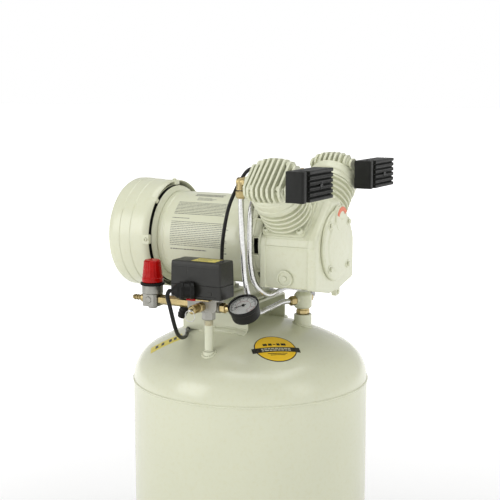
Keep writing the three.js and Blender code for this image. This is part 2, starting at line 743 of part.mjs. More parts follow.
// A rocking piston: the disc and its rod are one piece, with a ring round the crank pin.
function makePiston(bank) {
  const ring = PIN_RADIUS + 2 * CRANK_THROW + 1;
  const top = DECK + GAP + CYLINDER_LENGTH - CRANK_THROW - 2;
  const half = ROD_THICKNESS / 2;
  const disc = bar([0, 0, top - PISTON_THICKNESS], [0, 0, top], BORE_RADIUS - 2 * RUN, 16);
  const shank = box(-half, half, -8, 8, ring + 1, top - 1);
  const outer = bar([-half, 0, 0], [half, 0, 0], ring + ROD_RING_WALL, 20);
  const hole = bar([-half - 1, 0, 0], [half + 1, 0, 0], ring, 20);
  return metal(`piston_${bank.side}`, cut(join(disc, shank, outer), hole), ALUMINIUM);
}

function makeBank(bank) {
  const group = new THREE.Group();
  group.position.x = bank.x;
  group.rotation.x = THREE.MathUtils.degToRad(bank.tilt);
  group.add(makeCylinder(bank), makeHead(bank), makePiston(bank));
  return group;
}

// An intake filter: a base on a stub, with a plain end, and a cover with level ribs.
function makeFilter(bank) {
  const [y0, y1] = [bank.filterY - FILTER_WIDTH / 2, bank.filterY + FILTER_WIDTH / 2];
  const [z0, z1] = [FILTER_LEVEL - FILTER_HEIGHT / 2, FILTER_LEVEL + FILTER_HEIGHT / 2];
  const back = FILTER_FACE - FILTER_DEPTH;
  const split = back + FILTER_DEPTH * 0.45;
  const end = y0 + FILTER_END;
  const [, portY, portZ] = bankPoint(bank, 0, 0, PORT_LEVEL);
  const stub = bar([bank.x + PORT_FACE + GAP, portY, portZ], [back + 2, portY, portZ], PORT_RADIUS + 4);
  const pitch = FILTER_HEIGHT / FILTER_RIBS;
  const ribs = [[split + GAP, z0]];
  for (let i = 0; i < FILTER_RIBS; i += 1) {
    const low = z0 + i * pitch;
    ribs.push([FILTER_FACE - 5, low], [FILTER_FACE - 5, low + pitch * 0.25]);
    ribs.push([FILTER_FACE, low + pitch * 0.35], [FILTER_FACE, low + pitch * 0.75]);
  }
  ribs.push([split + GAP, z1]);
  return [
    plastic(`filter_base_${bank.side}`, join(
      box(back, split, y0, y1, z0, z1),
      box(back, FILTER_FACE - 2, y0, end, z0, z1),
      stub,
    )),
    plastic(`filter_cover_${bank.side}`, prismY(ribs, end + 2, y1)),
  ];
}

// ---------------------------------------------------------------- air lines

const FRONT_PORT = bankPoint(BANKS[0], 0, 0, PORT_LEVEL);
const REAR_PORT = bankPoint(BANKS[1], 0, 0, PORT_LEVEL);
const NUT_LENGTH = 11;

// An elbow from a head's outlet, with the nut of its tube; the outlet direction is given.
function makeElbow(bank, port, outlet) {
  const [, y, z] = port;
  const start = bank.x - PORT_FACE - GAP;
  const out = (distance) => [
    ELBOW_X + outlet[0] * distance, y + outlet[1] * distance, z + outlet[2] * distance];
  return brass(`elbow_${bank.side}`, join(
    bar([start, y, z], [ELBOW_X - 4, y, z], PORT_RADIUS, 12),
    bar(out(-6), out(15), ELBOW_RADIUS, 12),
    bar(out(14), out(14 + NUT_LENGTH), NUT_RADIUS, 6),
  ));
}

const OUTLET_REACH = 14 + NUT_LENGTH + GAP;
const VALVE_INLETS = [
  { name: 'front', angle: -120 },
  { name: 'rear', angle: 90 },
];

// A point in front of one of the check valve's two inlets.
function inletPoint(inlet, distance) {
  const angle = THREE.MathUtils.degToRad(inlet.angle);
  return [
    VALVE_X + distance * Math.cos(angle), VALVE_Y + distance * Math.sin(angle), VALVE_PORT_LEVEL];
}

function makeCheckValve() {
  const bottom = VALVE_BOTTOM - GAP;
  const base = join(
    bar([VALVE_X, VALVE_Y, VALVE_BOSS_TOP - 14], [VALVE_X, VALVE_Y, bottom], VALVE_RADIUS - 5 - GAP),
    bar([VALVE_X, VALVE_Y, VALVE_BOSS_TOP + GAP], [VALVE_X, VALVE_Y, bottom], 11.5, 6),
  );
  const body = turned([
    [VALVE_BOTTOM, 0],
    [VALVE_BOTTOM, VALVE_RADIUS - 2],
    [VALVE_BOTTOM + 3, VALVE_RADIUS],
    [VALVE_TOP - 3, VALVE_RADIUS],
    [VALVE_TOP, VALVE_RADIUS - 3],
    [VALVE_TOP, 0],
  ], [VALVE_X, VALVE_Y, 0], [0, 0, 1], 16);
  const nuts = VALVE_INLETS.map((inlet) => {
    const from = inletPoint(inlet, VALVE_RADIUS + GAP);
    const to = inletPoint(inlet, VALVE_RADIUS + GAP + NUT_LENGTH);
    return brass(`valve_nut_${inlet.name}`, bar(from, to, NUT_RADIUS, 6));
  });
  return [brass('check_valve_base', base), painted('check_valve_body', body), ...nuts];
}

const INLET_REACH = VALVE_RADIUS + NUT_LENGTH + 2 * GAP;

// From the front head straight down, then back under the pump to the check valve.
function makeFrontTube() {
  const [, y, z] = FRONT_PORT;
  const under = VALVE_PORT_LEVEL - 3;
  const fall = Math.min(y + 2, -MOTOR_RADIUS - 3 * TUBE_RADIUS - 7); // clears the rear head's tube
  return tube([
    [ELBOW_X, y, z - OUTLET_REACH],
    [ELBOW_X, y, z - OUTLET_REACH - 20],
    [ELBOW_X + 2, fall, 0],
    [ELBOW_X + 6, fall + 3, under + 48],
    [ELBOW_X + 10, fall + 11, under + 18],
    [ELBOW_X + 13, fall + 28, under],
    [ELBOW_X + 13, -45, under - 1],
    [ELBOW_X + 13, -12, under],
    inletPoint(VALVE_INLETS[0], INLET_REACH + 14),
    inletPoint(VALVE_INLETS[0], INLET_REACH),
  ], TUBE_RADIUS, 8, 28);
}

// From the rear head across the top of the motor, down its near side and under the pump.
function makeRearTube() {
  const [, y, z] = REAR_PORT;
  const near = -MOTOR_RADIUS - TUBE_RADIUS - 4;
  const under = Math.min(CASE_BOTTOM, -MOTOR_RADIUS - GAP) - TUBE_RADIUS;
  return tube([
    [ELBOW_X, y - OUTLET_REACH - GAP, z],
    [ELBOW_X, y - OUTLET_REACH - 12, z],
    [ELBOW_X, y - OUTLET_REACH - 24, z - 2],
    [ELBOW_X + 2, 20, z - 7],
    [ELBOW_X + 4, -35, z - 14],
    [ELBOW_X + 6, -66, z - 24],
    [ELBOW_X + 6, near, z - 44],
    [ELBOW_X + 4, near - 1, 10],
    [ELBOW_X + 5, near, -30],
    [ELBOW_X + 11, near + 4, under + 22],
    [ELBOW_X + 20, near + 22, under + 3],
    [ELBOW_X + 21, -30, under],
    [ELBOW_X + 15, 0, under - 2],
    [ELBOW_X + 10, 40, under - 3],
    [ELBOW_X + 14, VALVE_Y + 42, VALVE_PORT_LEVEL + 9],
    [VALVE_X - 9, VALVE_Y + 56, VALVE_PORT_LEVEL + 2],
    inletPoint(VALVE_INLETS[1], INLET_REACH + 12),
    inletPoint(VALVE_INLETS[1], INLET_REACH),
  ], TUBE_RADIUS, 8, 42);
}

// The nylon unloader line, from the pressure switch up to the rear head's elbow.
function makeUnloaderTube() {
  const [, y, z] = REAR_PORT;
  const back = SWITCH_BACK + 5;
  return tube([
    [10.5, back, SWITCH_BOTTOM + 9 + GAP],
    [10.5, back, SWITCH_BOTTOM + 24],
    [10.5, back, SWITCH_TOP - 4],
    [5, -104, 4],
    [3.5, -94, 31],
    [8.5, -89, 62],
    [15.5, -84, 84],
    [22, -76, 103],
    [27, -60, 119],
    [31, -32, 122],
    [31, 5, 115],
    [24, 50, z + 4],
    [14, y - 26, z],
    [11, y - 10, z],
    [16, y, z],
    [24, y, z],
    [ELBOW_X - ELBOW_RADIUS - GAP, y, z],
  ], NYLON_RADIUS, 8, 34);
}

// ---------------------------------------------------------------- controls

function makeRiser() {
  const from = [0, LINE_Y, RISER_BOSS_TOP + GAP];
  const to = [0, LINE_Y, HEX_PORT_BOTTOM - GAP];
  const bore = bar([0, LINE_Y, -400], [0, LINE_Y, 0], PIPE_RADIUS - 2.3, 12);
  return painted('riser_pipe', cut(bar(from, to, PIPE_RADIUS, 20), bore));
}

function makeManifold() {
  const half = MANIFOLD_DEPTH / 2;
  const top = SWITCH_BOTTOM - GAP;
  return metal('manifold', join(
    box(MANIFOLD_START, MANIFOLD_END, LINE_Y - half, LINE_Y + half, MANIFOLD_BOTTOM, top),
    bar([0, LINE_Y, HEX_PORT_BOTTOM], [0, LINE_Y, MANIFOLD_BOTTOM + 1], PIPE_RADIUS + 4.2, 6),
  ), ZINC);
}

function makeSwitch() {
  const barb = SWITCH_BACK + 5;
  const base = join(
    box(SWITCH_START, SWITCH_END, SWITCH_FRONT, SWITCH_BACK, SWITCH_BOTTOM, SWITCH_SPLIT - GAP),
    box(6, 15, SWITCH_BACK - 1, barb + 4, SWITCH_BOTTOM, SWITCH_BOTTOM + 9),
  );
  const hood = (inset, bottom, top) => {
    const geometry = new THREE.BoxGeometry(
      SWITCH_END - SWITCH_START - 2 * inset, SWITCH_BACK - SWITCH_FRONT - 2 * inset, top - bottom);
    const position = geometry.attributes.position;
    for (let i = 0; i < position.count; i += 1) {
      if (position.getZ(i) > 0) {
        position.setX(i, position.getX(i) * 0.95);
        position.setY(i, position.getY(i) * 0.86);
      }
    }
    return solid(geometry.translate(
      (SWITCH_START + SWITCH_END) / 2, (SWITCH_FRONT + SWITCH_BACK) / 2, (top + bottom) / 2));
  };
  const cover = cut(
    hood(0, SWITCH_SPLIT, SWITCH_TOP), hood(COVER_WALL, SWITCH_SPLIT - 1, SWITCH_TOP - COVER_WALL));
  return [
    piece('switch_base', base, GREY, 0.5, 0.1),
    piece('switch_cover', cover, GREY, 0.5, 0),
  ];
}

const LEVER_PIVOT_X = 15;

// The on-off lever: a thin strip below the switch, hinged at one end, with a red tip.
function makeSwitchLever() {
  const y0 = SWITCH_FRONT - 2;
  const y1 = LINE_Y - MANIFOLD_DEPTH / 2 - 1.5;
  const top = SWITCH_BOTTOM - 1;
  return brass('switch_lever', join(
    box(-12, LEVER_PIVOT_X, y0 + 1, y1, top - 2, top),
    box(-25, -11, y0, y1, top - 3, top),
  ));
}

const GLAND_START = [-14, SWITCH_FRONT - 1, -62];
const GLAND_AIM = [-0.8, -0.6, 0];
const GLAND_LENGTH = 32;

function glandPoint(distance) {
  return GLAND_START.map((value, i) => value + GLAND_AIM[i] * distance);
}

function makeGlands() {
  const keepOff = box(
    SWITCH_START - GAP, SWITCH_END + GAP, SWITCH_FRONT - GAP, SWITCH_BACK + GAP,
    SWITCH_BOTTOM - GAP, SWITCH_TOP);
  const motor = join(
    bar(glandPoint(0), glandPoint(17), 13, 16),
    bar(glandPoint(16), glandPoint(25), 12, 6, 11),
    bar(glandPoint(24), glandPoint(GLAND_LENGTH), 9.5, 16, 5.5),
  );
  const [x, y] = [SWITCH_START + 8, SWITCH_BACK - 1];
  const mains = join(
    bar([x, y, SWITCH_BOTTOM + 4], [x - 6, y, -96], 9, 12),
    bar([x - 5, y, -94], [x - 17, y + 2, -118], 8, 12, 6),
  );
  return [plastic('motor_gland', cut(motor, keepOff)), plastic('mains_gland', cut(mains, keepOff))];
}

// The motor lead: a loop from its gland, under the saddle's edge and up into the motor.
function makeMotorLead() {
  const low = domeLevel(Math.hypot(SADDLE_START + 8, SADDLE_HALF_WIDTH)) + LEAD_RADIUS + 1.4;
  return tube([
    glandPoint(GLAND_LENGTH + 2 * GAP),
    glandPoint(GLAND_LENGTH + 4),
    glandPoint(GLAND_LENGTH + 7).map((value, i) => value - (i === 2 ? 7 : 0)),
    [-42, -188, -86],
    [-40, -184, -104],
    [-42, -173, -123],
    [-47, -157, -138],
    [-53, -136, -148],
    [-59, -114, -151],
    [-68, -94, -149],
    [-79, -76, low + 0.4],
    [-84, -58, low + 2],
    [-83, -42, low + 13],
    [LEAD_ENTRY_X, LEAD_ENTRY_Y - 4, SADDLE_TOP - 14],
    [LEAD_ENTRY_X, LEAD_ENTRY_Y, SADDLE_TOP],
    [LEAD_ENTRY_X, LEAD_ENTRY_Y, -MOTOR_RADIUS + 10],
  ], LEAD_RADIUS, 8, 30);
}

function makeRegulator() {
  const half = REGULATOR_SIZE / 2;
  const block = [LINE_Z - 11, LINE_Z + 9];
  const bonnetTop = KNOB_BOTTOM - GAP * 2;
  const at = (z) => [REGULATOR_X, LINE_Y, z];
  const body = join(
    box(REGULATOR_X - half, REGULATOR_X + half, LINE_Y - half, LINE_Y + half, ...block),
    bar(at(block[1] - 2), at(bonnetTop), half - 0.5, 16),
    bar(at(block[1]), at(bonnetTop), BONNET_RADIUS, 16),
    bar(at(bonnetTop - 3.5), at(bonnetTop), BONNET_RADIUS + 2.3, 16),
    bar(at(block[0] - 4), at(block[0] + 1), 7, 12),
    bar(at(bonnetTop - 1), at(KNOB_TOP - 12), SPINDLE_RADIUS, 12),
  );
  const knob = turned([
    [KNOB_BOTTOM, SPINDLE_RADIUS + GAP],
    [KNOB_BOTTOM, KNOB_RADIUS],
    [KNOB_BOTTOM + 8, KNOB_RADIUS],
    [KNOB_BOTTOM + 8.5, KNOB_RADIUS - 1],
    [KNOB_TOP - 2, KNOB_TOP_RADIUS],
    [KNOB_TOP, KNOB_TOP_RADIUS - 2],
    [KNOB_TOP, 0],
    [KNOB_TOP - 11, 0],
    [KNOB_TOP - 11, SPINDLE_RADIUS + GAP],
    [KNOB_BOTTOM, SPINDLE_RADIUS + GAP],
  ], [REGULATOR_X, LINE_Y, 0], [0, 0, 1], 18);
  return [
    metal('regulator_body', body, ZINC),
    piece('regulator_knob', knob, RED, 0.35, 0),
  ];
}

function makeLineFittings() {
  const inlet = REGULATOR_X + REGULATOR_SIZE / 2 + GAP;
  const outlet = REGULATOR_X - REGULATOR_SIZE / 2 - GAP;
  const nipple = bar([inlet, LINE_Y, LINE_Z], [MANIFOLD_START - GAP, LINE_Y, LINE_Z], 8.4, 6);
  const barb = turned([
    [0, 0],
    [0, 7],
    [6, 7],
    [6, 3.6],
    [11, 3.6],
    [11, 4.8],
    [16, 3.6],
    [16, 4.8],
    [21, 3.6],
    [23, 2.8],
    [23, 0],
  ], [outlet, LINE_Y, LINE_Z], [-1, 0, 0], 12);
  return [brass('hex_nipple', nipple), brass('hose_barb', barb)];
}

const GAUGE_NORMAL = [
  0, -Math.sin(THREE.MathUtils.degToRad(GAUGE_TILT)), Math.cos(THREE.MathUtils.degToRad(GAUGE_TILT))];
const GAUGE_CENTRE = [GAUGE_X, LINE_Y, LINE_Z - 3];

function gaugePoint(distance) {
  return GAUGE_CENTRE.map((value, i) => value + GAUGE_NORMAL[i] * distance);
}

// A round gauge, fed through its side, with its pointer in a recess over the dial.
function makeGauge() {
  const half = GAUGE_DEPTH / 2;
  const dial = half - 4;
  const shell = turned([
    [-half, 0],
    [-half, GAUGE_RADIUS - 3],
    [half - 5, GAUGE_RADIUS],
    [half, GAUGE_RADIUS],
    [half, GAUGE_RADIUS - 1.6],
    [dial, GAUGE_RADIUS - 1.6],
    [dial, 0],
  ], GAUGE_CENTRE, GAUGE_NORMAL, 22);
  const stem = bar(
    [MANIFOLD_END + GAP, LINE_Y, LINE_Z - 3], [GAUGE_X - GAUGE_RADIUS + 4, LINE_Y, LINE_Z - 3], 5.5, 12);
  const [nx, ny, nz] = GAUGE_NORMAL;
  const level = dial + 1;
  const reach = new THREE.Vector3(-0.8, -0.6 * nz, 0.6 * ny).multiplyScalar(GAUGE_RADIUS * 0.62);
  const hub = gaugePoint(level);
  const tip = hub.map((value, i) => value + reach.getComponent(i));
  const tail = hub.map((value, i) => value - reach.getComponent(i) * 0.3);
  const pointer = join(
    bar(hub, gaugePoint(level + 1.6), 2.6, 12),
    bar(tail, tip, 0.6, 6).translate([nx * 0.7, ny * 0.7, nz * 0.7]),
  );
  return [plastic('gauge_case', join(shell, stem)), plastic('gauge_pointer', pointer)];
}

// A spring relief valve with a pull stem and a split ring on its nose.
function makeSafetyValve() {
  const back = LINE_Y - MANIFOLD_DEPTH / 2 - GAP;
  const nose = back - SAFETY_LENGTH;
  const level = LINE_Z - 2;
  const at = (y, z = level) => [SAFETY_X, y, z];
  const body = turned([
    [0, 0],
    [0, SAFETY_RADIUS + 1],
    [9, SAFETY_RADIUS + 1],
    [10, SAFETY_RADIUS - 1],
    [13, SAFETY_RADIUS - 1],
    [14, SAFETY_RADIUS],
    [SAFETY_LENGTH - 2, SAFETY_RADIUS],
    [SAFETY_LENGTH, SAFETY_RADIUS - 2],
    [SAFETY_LENGTH, 2.2 + GAP],
    [SAFETY_LENGTH - 12, 2.2 + GAP],
    [SAFETY_LENGTH - 12, 0],
  ], at(back), [0, -1, 0], 12);
  const ring = new THREE.TorusGeometry(RING_RADIUS, 1, 5, 18).rotateX(Math.PI / 2);
  const hoop = solid(ring.translate(...at(nose - 3.5, level - RING_RADIUS)));
  const stem = bar(at(nose + 9), at(nose - 5), 2.2, 12);
  return [brass('safety_valve', body), metal('safety_pull', join(stem, hoop))];
}

// ---------------------------------------------------------------- assembly

const upper = new THREE.Group();
upper.position.z = AXIS_HEIGHT;
upper.add(
  makeSaddle(),
  makeMotorShell(),
  makeStator(),
  makeRotor(),
  makeRearBell(),
  makeFrontBell(),
  makeCowl(),
  makeFan(),
  makeBearing('bearing_rear', REAR_BELL_BACK + 1),
  makeBearing('bearing_front', CASE_START + CASE_WALL),
  makeCrankshaft(),
  makeCrankcase(),
  makeCover(),
  ...BANKS.map(makeBank),
  ...BANKS.flatMap(makeFilter),
  makeElbow(BANKS[0], FRONT_PORT, [0, 0, -1]),
  makeElbow(BANKS[1], REAR_PORT, [0, -1, 0]),
  ...makeCheckValve(),
  piece('discharge_tube_front', makeFrontTube(), ALUMINIUM, 0.3, 0.9),
  piece('discharge_tube_rear', makeRearTube(), ALUMINIUM, 0.3, 0.9),
  plastic('unloader_tube', makeUnloaderTube()),
  makeRiser(),
  makeManifold(),
  ...makeSwitch(),
  makeSwitchLever(),
  ...makeGlands(),
  plastic('motor_lead', makeMotorLead()),
  ...makeRegulator(),
  ...makeLineFittings(),
  ...makeGauge(),
  ...makeSafetyValve(),
);

const group = new THREE.Group();
group.add(makeTank(), upper, ...makeDrain());
for (let index = 0; index < LEG_COUNT; index += 1) {
  group.add(makeLeg(index), makeFoot(index));
}

// The origin is under the middle of the whole object, at floor level.
const bounds = new THREE.Box3().setFromObject(group);
group.position.x = -(bounds.min.x + bounds.max.x) / 2;
group.position.y = -(bounds.min.y + bounds.max.y) / 2;

export default group;
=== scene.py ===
"""Looks of a vertical tank air compressor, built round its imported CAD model.

Lengths are millimetres in the frame of the motor axis (X along the shaft towards the pump,
Z up, the tank axis at x = 0), until a shape is finished into a piece in metres.
"""
import json
import random
from math import atan2, cos, hypot, pi, radians, sin, sqrt, tan

import bmesh
import bpy
from mathutils import Matrix, Vector


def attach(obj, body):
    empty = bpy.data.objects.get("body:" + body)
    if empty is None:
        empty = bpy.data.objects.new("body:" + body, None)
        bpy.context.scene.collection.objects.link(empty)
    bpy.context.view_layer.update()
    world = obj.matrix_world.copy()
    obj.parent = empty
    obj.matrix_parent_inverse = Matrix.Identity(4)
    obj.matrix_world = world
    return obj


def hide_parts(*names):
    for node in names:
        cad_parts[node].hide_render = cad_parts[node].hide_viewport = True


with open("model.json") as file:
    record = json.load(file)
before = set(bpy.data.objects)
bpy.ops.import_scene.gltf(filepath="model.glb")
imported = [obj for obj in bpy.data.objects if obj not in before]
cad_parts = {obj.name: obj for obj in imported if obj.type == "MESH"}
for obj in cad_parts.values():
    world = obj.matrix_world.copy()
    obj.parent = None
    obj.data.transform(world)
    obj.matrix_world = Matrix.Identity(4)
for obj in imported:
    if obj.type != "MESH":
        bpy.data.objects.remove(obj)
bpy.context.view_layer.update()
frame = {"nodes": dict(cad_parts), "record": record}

MM = 0.001
ROOT = "compressor"
JOINTS = {joint["name"]: joint for joint in frame["record"]["behaviour"]["joints"]}
MOTOR = Vector(JOINTS["shaft_spin"]["pos_m"])
FLOOR = -MOTOR.z / MM

# ---------------------------------------------------------------- driving sizes

TANK_RADIUS = 198
CROWN = TANK_RADIUS * 1.67
KNUCKLE = TANK_RADIUS * 0.31
DOME_TOP = -136
GROUND_CLEARANCE = 50
LEG_RADIUS = 176
LINE_Y, LINE_Z = -140, -88
MOTOR_RADIUS = 74
BELL_RADIUS = 84.5
COWL_RADIUS = 92.5
COWL_FRONT, COWL_REAR = -144, -228
SADDLE_START, SADDLE_END, SADDLE_HALF, SADDLE_TOP = -91, 31.5, 70, -99
SHELL_START, SHELL_END = -138, 40
CASE_START, CASE_END, CASE_HALF = 58.5, 155, 78
CASE_BOTTOM, CASE_TOP, DECK = -78, 73, 63
COVER_FACE, COVER_RADIUS = 162.5, 58
HEAD_START, HEAD_TOP, HEAD_RADIUS = 118.6, 172.6, 42
PORT_LEVEL = HEAD_START + 30
BANKS = {"front": (95, 45), "rear": (108, -45)}
FILTER_BACK, FILTER_FACE, FILTER_LEVEL = 155, 186, 108
FILTER_Y = {"front": -132, "rear": 125}
FILTER_WIDTH, FILTER_HEIGHT = 102, 46
ELBOW_X = 39.5
VALVE_X, VALVE_Y, VALVE_LEVEL = 77, 45, -105
SWITCH = (-55, 36, -165, -121, -75, -17)
SWITCH_SPLIT = -54
REGULATOR_X, GAUGE_X, SAFETY_X = -105, 65, -6
VALVE_BOSS, RISER_BOSS = 19, 4
NUT_RADIUS = 8.6
TUBE_RADIUS, NYLON_RADIUS, LEAD_RADIUS = 4.5, 3, 3.3
FOOT_X, FOOT_HEIGHT = 153, 18.3
SEAM_ANGLE = 118
PLATE_ANGLE, PLATE_LEVEL = 70, -300
BELL_BACK, BELL_FRONT = -159.3, -138.3
COVER_BOSS_Y, COVER_BOSS_Z = 6, 41.5
PLUG_X, PLUG_Z = 103, -48
KNOB_BOTTOM, KNOB_TOP = -60, -24
GAUGE_TILT, DIAL_START, DIAL_SWEEP = 30, 225, 270
STICKER_X, STICKER_Y, STICKER_RADIUS = 90, -84, 34.5
HEX = 6  # sides of a hexagonal bar

# Degrees for the angles, millimetres for the rest.
CAMERA_AZIMUTH, CAMERA_PITCH, CAMERA_DISTANCE, CAMERA_LENS = 28.18, 8.6, 1822.8, 78.02
CAMERA_RIGHT, CAMERA_UP = -0.8, -19.6  # where the camera aims, from the motor axis


# ---------------------------------------------------------------- small geometry

def fillet(points, radius, cuts=4, closed=True):
    """The 2-D outline with each corner rounded, as far as its edges allow."""
    count = len(points)
    out = []
    for i, point in enumerate(points):
        if not closed and i in (0, count - 1):
            out.append(tuple(point))
            continue
        here = Vector(point)
        back = Vector(points[i - 1]) - here
        ahead = Vector(points[(i + 1) % count]) - here
        if back.length < 1e-6 or ahead.length < 1e-6:
            out.append(tuple(point))
            continue
        half = back.angle(ahead) / 2
        if half > radians(86) or half < 0.05:
            out.append(tuple(point))
            continue
        reach = min(radius / tan(half), back.length * 0.48, ahead.length * 0.48)
        start, end = here + back.normalized() * reach, here + ahead.normalized() * reach
        for step in range(cuts + 1):
            t = step / cuts
            out.append(tuple(start * (1 - t) ** 2 + here * 2 * t * (1 - t) + end * t ** 2))
    return out


def rect(x0, x1, y0, y1):
    """The corners of a rectangle, in order round it."""
    return [(x0, y0), (x1, y0), (x1, y1), (x0, y1)]


def turns(count):
    """Evenly spaced angles round a full turn."""
    return [2 * pi * i / count for i in range(count)]


def steps(low, high, pitch):
    """Evenly spaced values from low to high, about a pitch apart."""
    count = max(1, int((high - low) / pitch))
    return [low + (high - low) * i / count for i in range(count + 1)]


def catmull(points, spacing=2.0):
    """Samples a centripetal Catmull-Rom curve through the points."""
    points = [Vector(p) for p in points]
    ends = [points[0] * 2 - points[1]] + points + [points[-1] * 2 - points[-2]]
    out = [points[0]]
    for a, b, c, d in zip(ends, ends[1:], ends[2:], ends[3:]):
        knots = [0.0]
        for p, q in ((a, b), (b, c), (c, d)):
            knots.append(knots[-1] + max((q - p).length, 1e-6) ** 0.5)
        count = max(2, int((c - b).length / spacing))
        for step in range(1, count + 1):
            t = knots[1] + (knots[2] - knots[1]) * step / count
            one = [_mix(p, q, knots[i], knots[i + 1], t)
                   for i, (p, q) in enumerate(((a, b), (b, c), (c, d)))]
            two = [_mix(one[i], one[i + 1], knots[i], knots[i + 2], t) for i in (0, 1)]
            out.append(_mix(two[0], two[1], knots[1], knots[2], t))
    return out


def _mix(p, q, start, end, t):
    return p * ((end - t) / (end - start)) + q * ((t - start) / (end - start))


def basis(axis):
    """Two unit vectors at right angles to an axis and to each other."""
    axis = Vector(axis).normalized()
    first = Vector((0, 0, 1)) if abs(axis.z) < 0.9 else Vector((0, 1, 0))
    side = (first - axis * first.dot(axis)).normalized()
    return side, axis.cross(side)


def head_outline(count=26):
    """A dished head as (radius, height above its rim), from the rim to the pole."""
    inset = TANK_RADIUS - KNUCKLE
    drop = sqrt((CROWN - KNUCKLE) ** 2 - inset ** 2)
    meet = atan2(drop, inset)
    knuckle = [(inset + KNUCKLE * cos(meet * i / count), KNUCKLE * sin(meet * i / count))
               for i in range(count)]
    turn = pi / 2 - meet
    crown = [(CROWN * cos(meet + turn * i / count), CROWN * sin(meet + turn * i / count) - drop)
             for i in range(count)]
    return knuckle + crown + [(0, CROWN - drop)]


HEAD = head_outline()
HEAD_RISE = HEAD[-1][1]
UPPER_RIM = DOME_TOP - HEAD_RISE
LOWER_RIM = FLOOR + GROUND_CLEARANCE + HEAD_RISE


def dome(x, y):
    """Height of the top head over a point."""
    radius = hypot(x, y)
    for (r0, z0), (r1, z1) in zip(HEAD, HEAD[1:]):
        if r1 <= radius <= r0:
            return UPPER_RIM + z1 + (z0 - z1) * (radius - r1) / (r0 - r1)
    return UPPER_RIM


def dome_normal(x, y):
    """The direction straight out of the top head over a point."""
    step = 0.5
    slope_x = (dome(x + step, y) - dome(x - step, y)) / (2 * step)
    slope_y = (dome(x, y + step) - dome(x, y - step)) / (2 * step)
    return Vector((-slope_x, -slope_y, 1)).normalized()


